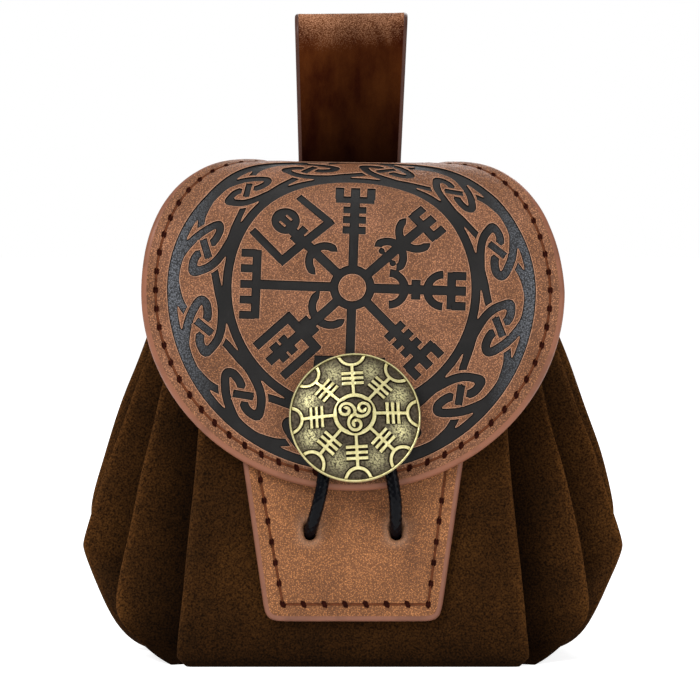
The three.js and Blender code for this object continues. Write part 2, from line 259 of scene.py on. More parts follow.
# Materials of more than one piece
leatherLook = {"grain": 2300, "specular": 0.3, "rough": (0.58, 0.4), "bump": (0.9, 0.18), "blotch": 55,
               "steep": 2.0, "crease": (0.28, 0.26, 0.26, 1), "top": (1.3, 1.35, 1.32, 1), "contrast": 0.95}


def dyed(tree, scale, dark, middle, light):
    sockets = {"Scale": scale, "Dark": dark, "Middle": middle, "Light": light}
    return useGroup(tree, dyeBlotch, sockets)["Color"]


def grained(name, look):        # leather with its pebbles in roughness and bump, still without a colour
    material, tree, shader = newMaterial(name, {"Specular IOR Level": look["specular"]})
    grain = useGroup(tree, pebbleGrain, {"Scale": look["grain"]})
    tree.links.new(spread(tree, grain["Tops"], 0, 1, *look["rough"]), shader["Roughness"])
    bumpInto(tree, shader, grain["Height"], *look["bump"])
    return material, tree, shader["Base Color"], grain["Tops"]


def dyedLeather(name, dyes, wearAndSheen=None):
    look = leatherLook
    material, tree, base, tops = grained(name, look)
    lit = mixColour(tree, maths(tree, "POWER", tops, look["steep"]), look["crease"], look["top"])
    colour = mixColour(tree, look["contrast"], dyed(tree, look["blotch"], *dyes), lit, "OVERLAY")
    if wearAndSheen:
        colour = mixColour(tree, painted(tree, "wearAndHighlight"), colour, wearAndSheen)
    tree.links.new(colour, base)
    return material


def plainDye(name, colour, roughness, specular, blotch, shade):
    material, tree, shader = newMaterial(name, {"Roughness": roughness, "Specular IOR Level": specular})
    dark = tuple(c * shade for c in colour[:3]) + (1,)
    tree.links.new(dyed(tree, blotch, dark, colour, colour), shader["Base Color"])
    return material


def edgePaint(name, colour):
    return plainDye(name, colour, roughness=0.42, specular=0.25, blotch=90, shade=0.72)


def plainDark(name, colour, roughness):
    return plainDye(name, colour, roughness, specular=0.05, blotch=700, shade=0.5)


# Finished pieces
def finishPiece(bm, name, materials, nodes=(), sharp=38):
    bmesh.ops.scale(bm, vec=(mm, mm, mm), verts=bm.verts)
    mesh = intoMesh(bm, name, materials)
    mesh.shade_smooth()
    mesh.set_sharp_from_angle(angle=radians(sharp))
    piece = addObject(name, mesh)
    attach(piece, "root")
    if nodes:
        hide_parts(*nodes)
    print(name, len(mesh.polygons), "faces")
    return piece


def nextRing(bm, edges):        # extrudes a row of edges and gives the new edges, points and faces
    made = bmesh.ops.extrude_edge_only(bm, edges=edges)["geom"]
    kinds = (bmesh.types.BMEdge, bmesh.types.BMVert, bmesh.types.BMFace)
    return [[g for g in made if isinstance(g, kind)] for kind in kinds]


# Elastic cord: out of the pouch, up over the flap's edge, round the post and back
cordSpec = {"radius": 1.75, "wrap": 7.0, "rise": 8.5, "sides": 24, "step": 0.3, "carriers": 6, "pitch": 3.6,
            "bump": 0.3, "level": 0.75, "knot": 3.2, "knotTurns": (1.1, 0.6), "knotDeep": 0.16,
            "black": (tone(0, 0, 1), tone(4, 5, 12)), "yarn": 2600}
cordRun = [                     # across, up, out, and how far the loop is pushed to the right
    (11.85, 35.2, -6.5, 0), (11.85, 36.1, -1.4, 0), (11.7, 37.4, 2.2, 0), (11.2, 40.2, 5.7, 0.5),
    (10.5, 44.6, 8.0, 1.1), (9.6, 50, 8.5, 1.3), (8.6, 57, 8.5, 0.9), (7.5, 63.5, 8.5, 0.3),
]


def wovenElastic():
    material, tree, shader = newMaterial("wovenElastic", {"Roughness": 0.24, "Specular IOR Level": 0.1})
    yarn = cloud(tree, objectPlace(tree), cordSpec["yarn"], 2.0)
    tree.links.new(mixColour(tree, yarn, *cordSpec["black"]), shader["Base Color"])
    return material


def cordLine():
    wrap, rise, up = cordSpec["wrap"], cordSpec["rise"], front["buttonUp"]
    turn = [pi * i / 6 for i in range(7)]
    bend = [(-wrap * cos(a), up + wrap * sin(a), rise) for a in turn]
    right = [(sway + x, y, z) for x, y, z, sway in cordRun]
    left = [(sway - x, y, z) for x, y, z, sway in cordRun]
    points = left + bend + right[::-1]
    return evenRun([onFront(*p) for p in smoothRun(points, 12)], cordSpec["step"])


def braidSkin(angle, along):    # two sets of yarns crossing over each other
    k, turn = cordSpec["carriers"], 2 * pi * along / cordSpec["pitch"]
    over = abs(sin(k * angle / 2 + turn) * sin(k * angle / 2 - turn))
    return cordSpec["radius"] + cordSpec["bump"] * (sqrt(over) - cordSpec["level"])


def makeCord():
    line = cordLine()
    bm = bmesh.new()
    bmesh.ops.create_circle(bm, segments=cordSpec["sides"], radius=cordSpec["radius"])
    order = bm.verts.layers.int.new("order")
    for i, v in enumerate(bm.verts):
        v[order] = i
    edges, ring = list(bm.edges), list(bm.verts)
    across = Vector((1, 0, 0))
    for i, (spot, along) in enumerate(zip(line, headings(line))):
        across = (across - along * across.dot(along)).normalized()
        up = along.cross(across)
        if i:
            edges, ring, _ = nextRing(bm, edges)
        for v in ring:
            a = 2 * pi * v[order] / cordSpec["sides"]
            r = braidSkin(a, i * cordSpec["step"])
            v.co = spot + across * cos(a) * r + up * sin(a) * r
    bmesh.ops.holes_fill(bm, edges=[e for e in bm.edges if e.is_boundary], sides=0)
    bmesh.ops.recalc_face_normals(bm, faces=bm.faces)
    cord = finishPiece(bm, "elastic_cord", [elastic], ["closure_cord"], sharp=60)
    knots = [makeKnot("cord_knot_left", -1), makeKnot("cord_knot_right", 1)]


def makeKnot(name, side):       # wound turns of the cord drawn up tight
    x, up, out, sway = cordRun[0]
    rise, twist = cordSpec["knotTurns"]
    deep = cordSpec["knotDeep"]
    bm = bmesh.new()
    bmesh.ops.create_icosphere(bm, subdivisions=4, radius=cordSpec["knot"])
    for v in bm.verts:
        wound = abs(sin(rise * v.co.z + twist * atan2(v.co.y, v.co.x)))
        v.co *= 1 - deep + deep * sqrt(wound)
    bmesh.ops.translate(bm, vec=onFront(sway + side * x, up, out), verts=bm.verts)
    return finishPiece(bm, name, [elastic], sharp=60)


setCamera()
elastic = wovenElastic()
makeCord()
print("camera and cord set")


# Flat leather: cut to an outline, drawn on, sunk, edged and laid along a side profile
void = -1                       # the kind of a cut-out
sheetSpec = {"mitre": 0.4, "crowded": 0.46, "taper": 0.2, "nose": 0.35, "keepOff": 0.45,
             "lineHalf": 0.16, "quarter": (25, 50, 75, 90)}


def outwardNormals(loop):       # for a loop that runs counter-clockwise
    mitred = []
    for i, p in enumerate(loop):
        before = (p - loop[i - 1]).normalized()
        after = (loop[(i + 1) % len(loop)] - p).normalized()
        bend = max(sheetSpec["mitre"], 1 + before.dot(after))
        mitred.append(Vector((before.y + after.y, -before.x - after.x)) / bend)
    return mitred


def insetLoop(loop, by):
    return [p - n * by for p, n in zip(loop, outwardNormals(loop))]


def strokeLoop(run, wide, rounded=False):   # outline of a drawn line
    left, right = [], []
    near, taper, nose = sheetSpec["crowded"] * wide, sheetSpec["taper"], sheetSpec["nose"] * wide
    for i, (p, along) in enumerate(zip(run, headings(run))):
        side = Vector((-along.y, along.x)) * wide / 2
        for edge, spot in ((left, p + side), (right, p - side)):
            crowded = any((spot - q).length < near for q in run)    # folded over in a tight bend
            if i in (0, len(run) - 1) or not crowded:
                edge.append(spot)
    if rounded:
        for edge, other in ((left, right), (right, left)):
            edge[0], edge[-1] = edge[0].lerp(other[0], taper), edge[-1].lerp(other[-1], taper)
        right.append(run[-1] + (run[-1] - run[-2]).normalized() * nose)
        right.insert(0, run[0] + (run[0] - run[1]).normalized() * nose)
    return right + left[::-1]


def discLoop(centre, radius, count):
    return [Vector(centre) + around(2 * pi * i / count, radius) for i in range(count)]


def pointTree(points):
    tree = KDTree(len(points))
    for i, p in enumerate(points):
        tree.insert((p.x, p.y, 0), i)
    tree.balance()
    return tree


def fillPoints(drawn, spacing):  # staggered points that keep off the drawn lines
    tree = pointTree(drawn)
    lowX, highX = min(p.x for p in drawn), max(p.x for p in drawn)
    lowY, highY = min(p.y for p in drawn), max(p.y for p in drawn)
    made = []
    for row in range(int((highY - lowY) / spacing)):
        y = lowY + (row + 0.5) * spacing
        for column in range(int((highX - lowX) / spacing)):
            x = lowX + (column + 0.25 + 0.5 * (row % 2)) * spacing
            if tree.find((x, y, 0))[2] > sheetSpec["keepOff"] * spacing:
                made.append(Vector((x, y)))
    return made


def cutSheet(outline, marks, spacing):      # each face takes the kind of the last mark drawn over it
    points = list(outline)
    loops = [list(range(len(points)))]
    for _, loop in marks:
        loops.append(list(range(len(points), len(points) + len(loop))))
        points += loop
    points += fillPoints(points, spacing)
    spots, _, faces, _, _, owners = delaunay_2d_cdt(points, [], loops, 0, 0.01)
    kinds = [0] + [kind for kind, _ in marks]
    bm = bmesh.new()
    verts = [bm.verts.new((p.x, p.y, 0)) for p in spots]
    for face, owner in zip(faces, owners):
        if 0 in owner and kinds[max(owner)] != void:
            bm.faces.new([verts[i] for i in face]).material_index = kinds[max(owner)]
    bmesh.ops.delete(bm, geom=[v for v in bm.verts if not v.link_faces], context="VERTS")
    bm.normal_update()
    return bm


def sink(bm, kinds, steps, wall):   # lowers drawn areas, each step in by a little and down by a little
    for inward, down in steps:
        faces = [f for f in bm.faces if f.material_index in kinds and not f.tag]
        made = bmesh.ops.inset_region(bm, faces=faces, thickness=inward, depth=-down)
        for face in made["faces"]:
            face.material_index = wall
            face.tag = True
    for face in bm.faces:
        face.tag = False


def rollEdges(bm, loops, steps, kinds):     # turns each free edge out and down, step by step
    points, outward = [], []
    for loop, sense in loops:
        points += loop
        outward += [((n * sense).to_3d(), kinds[0 if sense > 0 else 1]) for n in outwardNormals(loop)]
    tree = pointTree(points)
    kindLayer = bm.verts.layers.int.new("kind")
    spotLayer = bm.verts.layers.float_vector.new("spot")
    outLayer = bm.verts.layers.float_vector.new("out")
    edges = [e for e in bm.edges if e.is_boundary]
    for v in {v for e in edges for v in e.verts}:
        v[spotLayer] = v.co
        v[outLayer], v[kindLayer] = outward[tree.find((v.co.x, v.co.y, 0))[1]]
    for out, down in steps:
        edges, ring, faces = nextRing(bm, edges)
        for v in ring:
            v.co = v[spotLayer] + v[outLayer] * out - Vector((0, 0, down))
        for face in faces:
            face.material_index = face.verts[0][kindLayer]


def pinch(bm, seam, spec):      # the seam draws the leather in, so the rim stands up beside it
    tree = pointTree(seam)
    for v in bm.verts:
        away = tree.find((v.co.x, v.co.y, 0))[2]
        v.co.z -= spec["pinch"] * exp(-(away / spec["pinchWide"]) ** 2)


def bullNose(spec):             # rounded edge with a fine line where the two layers meet
    radius, thick, half, middle = spec["edge"], spec["thick"], sheetSpec["lineHalf"], spec["thick"] / 2
    quarter = [radians(a) for a in sheetSpec["quarter"]]
    steps = [(radius * sin(a), radius * (1 - cos(a))) for a in quarter]
    line = [(radius, middle - half), (radius - spec["seam"], middle), (radius, middle + half)]
    return steps + line + [(out, thick - down) for out, down in reversed(steps)] + [(0, thick)]


def closeUnder(bm, outline, openings, spec, kind):
    under = cutSheet(outline, [(void, loop) for loop in openings], spec["underSpacing"])
    bmesh.ops.reverse_faces(under, faces=under.faces)
    bmesh.ops.translate(under, vec=(0, 0, -spec["thick"]), verts=under.verts)
    for face in under.faces:
        face.material_index = kind
    flat = intoMesh(under, "under")
    bm.from_mesh(flat)
    bpy.data.meshes.remove(flat)
    bmesh.ops.remove_doubles(bm, verts=bm.verts, dist=0.004)
    bmesh.ops.recalc_face_normals(bm, faces=bm.faces)


def sideProfile(runs):          # outer face seen from the side, as (y, z), with its lengths and directions
    points = [p for run in runs for p in run]
    points = [p for i, p in enumerate(points) if i == 0 or (p - points[i - 1]).length > 1e-4]
    return {"points": points, "lengths": runLengths(points), "along": headings(points)}


def lineRun(start, end):
    return evenRun([Vector(start), Vector(end)], 1.0)


def arcRun(centre, radius, fromDeg, toDeg):
    turn = [radians(fromDeg + (toDeg - fromDeg) * i / 40) for i in range(41)]
    return [Vector(centre) + around(a, radius) for a in turn]


def sideAt(side, at):
    points, lengths, along = side["points"], side["lengths"], side["along"]
    i = clamp(bisect_right(lengths, at) - 1, 0, len(points) - 2)
    share = (at - lengths[i]) / (lengths[i + 1] - lengths[i])
    spot = points[i] + (points[i + 1] - points[i]) * share
    return spot, along[i].lerp(along[i + 1], clamp(share)).normalized()


def layAlong(bm, side):         # flat (across, along, height) to its place on the bag
    for v in bm.verts:
        spot, along = sideAt(side, v.co.y)
        flat = v.co.copy()
        v.co = (flat.x, spot.x - along.y * flat.z, spot.y + along.x * flat.z)
        if "nudge" in side:
            v.co += side["nudge"](flat, v.co.z)


def edgeAndLay(bm, inner, openings, spec, side, kinds):
    loops = [(inner, 1)] + [(loop, -1) for loop in openings]
    rollEdges(bm, loops, bullNose(spec), kinds)
    closeUnder(bm, inner, openings, spec, kinds[1])
    layAlong(bm, side)


# Stitching
stitchSpec = {"hole": [(1.35, 0), (0.65, 0.72), (-0.55, 0.78), (-1.35, 0), (-0.65, -0.72), (0.55, -0.78)],
              "across": 0.4, "upright": 0.6, "groove": 0.36, "grooveSteps": [(0.12, 0.12)],
              "holeSteps": [(0.1, 0.3), (0.12, 0.6)], "thread": 0.36, "threadFlat": 0.8, "threadDeep": 0.62,
              "shy": 1.0, "seamStep": 0.4}


def closedSpans(holes):
    return list(zip(holes, holes[1:] + holes[:1]))


def stitchHoles(spans, kind):   # an awl hole at each stitch, held near upright all the way round
    marks = []
    for p, q in spans:
        along = (q - p).normalized()
        along = along if along.y > 0 else -along
        lie = Vector((stitchSpec["across"] * along.x, along.y + stitchSpec["upright"]))
        turn = Matrix.Rotation(atan2(lie.y, lie.x), 2)
        marks.append((kind, [p + turn @ Vector(spot) for spot in stitchSpec["hole"]]))
    return marks


def sinkSeam(bm, seam, spec, groove, hole):
    sink(bm, (groove, hole), stitchSpec["grooveSteps"], groove)
    sink(bm, (hole,), stitchSpec["holeSteps"], hole)
    pinch(bm, seam, spec)


def makeThread(name, spans, side):
    bm = bmesh.new()
    for p, q in spans:
        run, middle = q - p, (p + q) / 2
        made = bmesh.ops.create_uvsphere(bm, u_segments=8, v_segments=6, radius=1)["verts"]
        long = (run.length - stitchSpec["shy"]) / 2
        size = (stitchSpec["thread"], stitchSpec["thread"] * stitchSpec["threadFlat"], long)
        lie = Matrix.Rotation(atan2(run.y, run.x), 4, "Z") @ Matrix.Rotation(pi / 2, 4, "Y")
        bmesh.ops.scale(bm, vec=size, verts=made)
        bmesh.ops.transform(bm, matrix=lie, verts=made)
        bmesh.ops.translate(bm, vec=(middle.x, middle.y, -stitchSpec["threadDeep"]), verts=made)
    layAlong(bm, side)
    finishPiece(bm, name, [brownThread], sharp=80)


stitchGroove = plainDark("stitchGroove", tone(98, 56, 34), 0.7)
# the stitch holes are dark brown as painted shade
stitchDark = plainDark("stitchDark", tone(46, 15, 8), 0.8)
brownThread = plainDark("brownThread", tone(104, 58, 36), 0.65)


# Flap
flapSpec = {"centre": 103.6, "halfWide": 58.6, "drop": 55.5, "rollTurn": 11.6, "rollRadius": 29.5,
            "backRadius": 14, "neckHalf": 27, "neckFrom": 31, "neckBlend": 9, "tongueEnd": 78,
            "tongueCorner": 9, "thick": 3.0, "edge": 1.5, "seam": 0.12, "paint": 0.05, "stitchIn": 4.05,
            "stitchStep": 5.2, "postHole": 2.9, "spacing": 2.2, "underSpacing": 4.0,
            "pinch": 0.4, "pinchWide": 1.3, "edgeStep": 1.1,
            "wallStep": (0.18, 0.1), "rimStep": (0.24, 0.3)}
flapDrape = {"hipAcross": 34, "hipWide": 13, "hipAt": 97, "hipLong": 16, "hipHigh": 1.1,
             "sag": 0.012, "sagFrom": 55, "sagOver": 30,
             "drawn": 0.85, "drawnFrom": 40, "drawnOver": 18, "drawnSteep": 1.6}


def flapSide():
    low = onFront(0, flapSpec["centre"] - flapSpec["drop"], front["flapFace"])
    start = onFront(0, flapSpec["centre"] + flapSpec["rollTurn"], front["flapFace"])
    lean, roll, back = front["lean"], flapSpec["rollRadius"], flapSpec["backRadius"]
    rollY, rollZ = start.y + roll * cos(lean), start.z - roll * sin(lean)
    top = rollZ + roll
    side = sideProfile([
        lineRun((low.y, low.z), (start.y, start.z)),
        arcRun((rollY, rollZ), roll, 180 - degrees(lean), 90),
        arcRun((rollY, top - back), back, 90, 0),
        lineRun((rollY + back, top - back), (rollY + back, flapSpec["tongueEnd"])),
    ])
    side["nudge"] = flapSet
    return side


def flapSet(flat, _):           # higher either side of the strap, the right shoulder lower and drawn in
    drape = flapDrape
    across = (abs(flat.x) - drape["hipAcross"]) / drape["hipWide"]
    along = (flat.y - drape["hipAt"]) / drape["hipLong"]
    lift = drape["hipHigh"] * exp(-across ** 2 - along ** 2)
    up = clamp((flat.y - drape["sagFrom"]) / drape["sagOver"])
    rim = clamp((flat.x - drape["drawnFrom"]) / drape["drawnOver"])
    drawn = drape["drawn"] * rim * min(drape["drawnSteep"] * up, 1)
    return Vector((-drawn, 0, lift - drape["sag"] * flat.x * up))


def flapOutline(long):
    wide, drop, neck = flapSpec["halfWide"], flapSpec["drop"], flapSpec["neckHalf"]
    turnIn, blend, corner = flapSpec["neckFrom"], flapSpec["neckBlend"], flapSpec["tongueCorner"]
    neckAt = sqrt(wide ** 2 - turnIn ** 2)
    right = []
    for i in range(60):         # round lower half
        a = pi / 2 * i / 60
        right.append((wide * sin(a), drop * (1 - cos(a))))
    for i in range(50):         # round upper part up to the neck
        a = asin(neckAt / wide) * i / 50
        right.append((wide * cos(a), drop + wide * sin(a)))
    for i in range(10):         # eases into the straight neck
        u = i / 10
        slope = -neckAt / turnIn * blend * (u - 2 * u * u + u ** 3)
        ease = (turnIn - neck) * (1 - 3 * u * u + 2 * u ** 3)
        right.append((neck + ease + slope, drop + neckAt + blend * u))
    for i in range(9):          # round end of the tongue
        a = pi / 2 * i / 8
        right.append((neck - corner * (1 - cos(a)), long - corner * (1 - sin(a))))
    left = [(-x, y) for x, y in reversed(right[1:])]
    return evenLoop([Vector(p) for p in right + left], flapSpec["edgeStep"])


# Pressed ornament on the flap, in millimetres from its hub: along and across each stave
ornament = {"hubAt": (-0.2, 56.2), "hubRadius": 6.2, "hubInner": 3.85, "stem": 2.5, "arc": 2.2,
            "ringAt": (-0.4, 56.1), "rails": (49.7, 34.4), "railWide": 2.5, "railOver": 0.4,
            "knots": 12, "knotRadius": 42.15, "knotTurn": 15, "strand": 2.4, "lead": 2.1,
            "gap": 0.3, "swell": 0.42, "overGap": (25, 33), "backGap": (17, 24),
            "shoulders": (3.0, 2.9), "drawnFrom": 35.5, "drawnOver": 13,
            "pushed": 1.1, "pushedFrom": 28, "pushedOver": 12}


def bar(at, half, wide=2.1):
    return (at, -half, at, half, wide)


def comb(at, half, teeth, reach, wide=2.25, barWide=2.3):
    return [bar(at, half, barWide)] + [(at, tooth, reach, tooth, wide) for tooth in teeth]


staves = [
    {"turn": 88.1, "stem": 30.8,
     "lines": [bar(16.2, 3.35), bar(19.35, 3.35), bar(22.5, 3.35)] + comb(26.0, 5.5, (-4.4, 4.4), 30.8)},
    {"turn": 41.5, "stem": 30.4, "arcs": [(12.9, 4.45, 0), (23.85, 4.9, 180)],
     "dots": [(12.9, 2.3, 1.05), (12.9, -2.3, 1.05)], "lines": comb(26.3, 5.26, (-4.15, 4.15), 30.4)},
    {"turn": -1.9, "stem": 31.6, "blunt": True, "arcs": [(10.1, 4.45, 0), (25.2, 4.5, 180)],
     "lines": [bar(17.6, 2.93, 2.38)] + comb(27.4, 5.37, (-4.24, 4.24), 31.6)},
    {"turn": -45.9, "stem": 30.9,
     "lines": [bar(16.9, 3.35), bar(20.05, 3.35), bar(23.25, 3.35)] + comb(26.7, 5.5, (-4.4, 4.4), 30.9)},
    {"turn": -91.9, "stem": 20, "lines": comb(20.5, 9.9, (-8.7, -4.4, 0, 4.4, 8.7), 25)},
    {"turn": 222, "stem": 31.2, "arcs": [(8.1, 5.06, 0)],
     "lines": [bar(15.85, 2.93, 2.35), bar(18.65, 6.78, 2.5), bar(23.85, 3.05, 2.3), bar(26.95, 3.05, 2.45),
               (17.5, -5.6, 31, -5.6, 2.35), (17.5, 5.6, 31, 5.6, 2.35)]},
    {"turn": 178.1, "stem": 26, "lines": comb(26.55, 9.68, (-8.6, -4.34, 0, 4.34, 8.6), 31.1, 2.1)},
    {"turn": 136.3, "stem": 24, "arcs": [(10.5, 4.37, 0)], "dots": [(26.4, -0.9, 4.15)],
     "lines": [(17.2, -10.2, 19.3, 9.1, 2.3), (17.0, -9.1, 29.5, -9.1, 2.1), (19.0, 8.0, 31.2, 7.6, 2.1),
               (20.9, -3.35, 20.9, 2.2, 2.1)],
     "slits": [(25.4, -2.2, 27.3, -2.2, 0.32), (25.4, 0.4, 27.3, 0.4, 0.32)]},
]

# one knot of the ring: lines round the ring and outwards from its middle
knotOver = [(13.1, 4.4), (10.9, 5.5), (8.64, 6.03), (5.72, 6.35), (3.39, 6.24), (1.35, 5.6), (-1.26, 4.46),
            (-3.51, 3.14), (-5.39, 1.6), (-6.96, 0.07), (-7.55, -1.29), (-6.37, -2.19), (-4.94, -2.24),
            (-3.29, -1.93), (-1.4, -1.1)]
knotBack = [(1.2, 1.25), (3.22, 2.06), (5.19, 2.03), (7.03, 1.32), (6.17, -0.5), (4.58, -2.55),
            (2.59, -3.99), (0.48, -4.93), (-1.85, -5.66), (-4.1, -6.25), (-5.8, -6.32)]
knotIn = [(-15.19, 4.47), (-11.92, 4.62), (-9.08, 4.59), (-6.92, 4.14), (-5.0, 3.41), (-2.8, 2.0)]
knotOut = [(2.8, -2.05), (5.53, -4.39), (8.34, -5.83), (11.49, -7.33), (14.45, -9.04)]
knotBar = [(-2.41, 1.75), (2.41, -1.75)]


def knotLayers(bare, ink):      # painted layer by layer, so the later strand lies over the earlier
    wide, lead = ornament["strand"] + ornament["swell"], ornament["lead"] + ornament["swell"]
    gap, reach = 2 * ornament["gap"], radians(180 / ornament["knots"] + ornament["railOver"])
    rails = []
    for radius in ornament["rails"]:
        turn = [reach * (i / 8 - 1) for i in range(17)]
        arc = [Vector((radius * sin(a), radius * cos(a) - ornament["knotRadius"])) for a in turn]
        rails.append((ink, strokeLoop(arc, ornament["railWide"] + ornament["swell"])))
    bars = [Vector(p) for p in knotBar]
    over, back = smoothRun(knotOver, 4), smoothRun(knotBack, 4)
    crossings = (over[slice(*ornament["overGap"])], back[slice(*ornament["backGap"])])
    return [
        [(ink, strokeLoop(smoothRun(run, 4), lead, True)) for run in (knotIn, knotOut)],
        [(bare, strokeLoop(run, wide + gap)) for run in crossings],
        rails,
        [(ink, strokeLoop(run, wide, True)) for run in (over, back)],
        [(bare, strokeLoop(bars, lead + gap)), (ink, strokeLoop(bars, lead))],
    ]


def drawIn(p):                  # the ring is drawn in at the flap's shoulders and lies a little left on top
    out = p - Vector(ornament["ringAt"])
    if out.y <= 0:
        return p
    by = ornament["shoulders"][0 if out.x < 0 else 1]
    share = clamp((out.length - ornament["drawnFrom"]) / ornament["drawnOver"])
    share *= sin(2 * atan2(out.y, out.x)) ** 2
    left = ornament["pushed"] * clamp((out.y - ornament["pushedFrom"]) / ornament["pushedOver"])
    return p - out.normalized() * by * share - Vector((left, 0))


def ringMarks(bare, ink):
    middle = Vector(ornament["ringAt"])
    marks = []
    for layer in knotLayers(bare, ink):
        for k in range(ornament["knots"]):
            a = radians(ornament["knotTurn"] + 360 * k / ornament["knots"])
            lie = Matrix.Rotation(a - pi / 2, 2)
            spot = middle + around(a, ornament["knotRadius"])
            for kind, loop in layer:        # drawn counter-clockwise round the ring, hence the turned sign
                marks.append((kind, [drawIn(spot + lie @ Vector((-p.x, p.y))) for p in reversed(loop)]))
    return marks


def straight(a, b, c, d, wide):
    return strokeLoop([Vector((a, b)), Vector((c, d))], wide)


def staveMarks(bare, ink):
    hub, swell = Vector(ornament["hubAt"]), ornament["swell"]
    marks = [(ink, discLoop(hub, ornament["hubRadius"] + swell / 2, 48))]
    for stave in staves:
        turn = Matrix.Rotation(radians(stave["turn"]), 2)
        lines = [(0, 0, stave["stem"], 0, ornament["stem"])] + stave["lines"]
        drawn = [(ink, straight(*ends, wide + swell)) for *ends, wide in lines]
        for at, radius, opens in stave.get("arcs", []):
            swing = [radians(opens - 90 + 180 * i / 16) for i in range(17)]
            run = [Vector((at + radius * cos(a), radius * sin(a))) for a in swing]
            drawn.append((ink, strokeLoop(run, ornament["arc"] + swell, "blunt" not in stave)))
        for at, across, radius in stave.get("dots", []):
            drawn.append((ink, discLoop((at, across), radius, 32)))
        drawn += [(bare, straight(*slit)) for slit in stave.get("slits", [])]
        marks += [(kind, [hub + turn @ p for p in loop]) for kind, loop in drawn]
    return marks + [(bare, discLoop(hub, ornament["hubInner"] - swell / 2, 48))]


inkLook = {"grain": 2300, "specular": 0.3, "rough": (0.6, 0.44), "bump": (0.4, 0.08), "blotch": 120,
           "dyes": (tone(10, 8, 7), tone(16, 13, 12), tone(25, 23, 22)),
           "wearAndSheen": (tone(34, 35, 38), tone(128, 131, 138)), "paintedSheenOver": (0.037, 0.053)}


def pressedInk():               # painted sheen, paler towards both sides of the flap
    look = inkLook
    material, tree, base, tops = grained("flapInk", look)
    away = maths(tree, "ABSOLUTE", axes(tree, objectPlace(tree))["X"])
    wearAndSheen = mixColour(tree, tops, *look["wearAndSheen"])
    dye = dyed(tree, look["blotch"], *look["dyes"])
    # the pale tone towards both sides is a painted sheen
    tree.links.new(mixColour(tree, spread(tree, away, *look["paintedSheenOver"]), dye, wearAndSheen), base)
    return material


def makeFlap():
    side = flapSide()
    outline = flapOutline(side["lengths"][-1])
    inner = insetLoop(outline, flapSpec["edge"])
    seam = evenLoop(insetLoop(outline, flapSpec["stitchIn"]), stitchSpec["seamStep"])
    stitches = closedSpans(evenLoop(seam, flapSpec["stitchStep"]))
    paint, bare, ink, groove, hole, wall, rim = range(7)
    postUp = front["buttonUp"] - flapSpec["centre"] + flapSpec["drop"]
    post = discLoop((0, postUp), flapSpec["postHole"], 24)
    wide, half = flapSpec["pinchWide"], stitchSpec["groove"]
    marks = [(bare, insetLoop(inner, flapSpec["paint"]))]
    for kind, by in ((bare, -wide), (groove, -half), (bare, half), (bare, wide)):
        marks.append((kind, insetLoop(outline, flapSpec["stitchIn"] + by)))
    marks += ringMarks(bare, ink) + staveMarks(bare, ink) + stitchHoles(stitches, hole) + [(void, post)]
    bm = cutSheet(inner, marks, flapSpec["spacing"])
    sink(bm, (ink,), [flapSpec["wallStep"]], wall)
    # the steep walls of the pressed lines are darker than the ink as painted shade
    sink(bm, (ink,), [flapSpec["rimStep"]], rim)
    deep = flapSpec["wallStep"][1] + flapSpec["rimStep"][1]
    for v in bm.verts:          # the pressed ground lies level
        if any(f.material_index == ink for f in v.link_faces):
            v.co.z = -deep
    sinkSeam(bm, seam, flapSpec, groove, hole)
    edgeAndLay(bm, inner, [post], flapSpec, side, (paint, bare))
    materials = [flapPaint, flapTan, flapInk, stitchGroove, stitchDark, pressedWall, pressedRim]
    finishPiece(bm, "flap_leather", materials, ["flap"], sharp=28)
    makeThread("flap_thread", stitches, side)


flapTan = dyedLeather("flapTan", (tone(118, 75, 45), tone(133, 87, 57), tone(144, 96, 67)))
flapPaint = edgePaint("flapPaint", tone(138, 88, 65))
flapInk = pressedInk()
pressedWall = plainDark("pressedWall", tone(178, 134, 108), 0.5)
# inked walls, darker than the ink as painted shade
pressedRim = plainDark("pressedRim", tone(13, 11, 10), 0.7)
makeFlap()


# Front tab with two slots for the cord
tabSpec = {"low": 12.5, "lowHalf": 23.9, "top": 60, "topHalf": 30.9, "corner": 7.5, "thick": 2.6,
           "edge": 1.3, "seam": 0.14, "paint": 0.05, "stitchStep": 5.7, "spacing": 2.4, "underSpacing": 4.0,
           "pinch": 0.35, "pinchWide": 1.3, "slotAcross": 11.85, "slotAt": 37.2, "slotHalf": 2.4,
           "slotReach": 0.9, "slotEase": 0.5, "wearAndHighlight": 0.3, "wearAndHighlightWide": 1.1, "edgeStep": 1.1, "run": (0, 80)}
tabSeam = [(-26.5, 57), (-19.2, 17.1), (20.6, 17.1), (25.9, 57)]    # down one side, across, up the other


def tabOutline():
    low, top = Vector((tabSpec["lowHalf"], tabSpec["low"])), Vector((tabSpec["topHalf"], tabSpec["top"]))
    up = (top - low).normalized()
    bend = [low + Vector((-tabSpec["corner"], 0)), low, low, low + up * tabSpec["corner"]]
    right = interpolate_bezier(*bend, 8) + [top]
    left = [Vector((-p.x, p.y)) for p in reversed(right)]
    return evenLoop([Vector((p.x, p.y)) for p in right + left], tabSpec["edgeStep"])


def slotLoops(grow):
    half, loops = tabSpec["slotHalf"] + grow, []
    for middle in (-tabSpec["slotAcross"], tabSpec["slotAcross"]):
        loop = []
        for a in [2 * pi * i / 28 for i in range(28)]:
            up = half * sin(a) + copysign(tabSpec["slotReach"], sin(a))
            loop.append(Vector((middle + half * cos(a), tabSpec["slotAt"] + up)))
        loops.append(loop)
    return loops


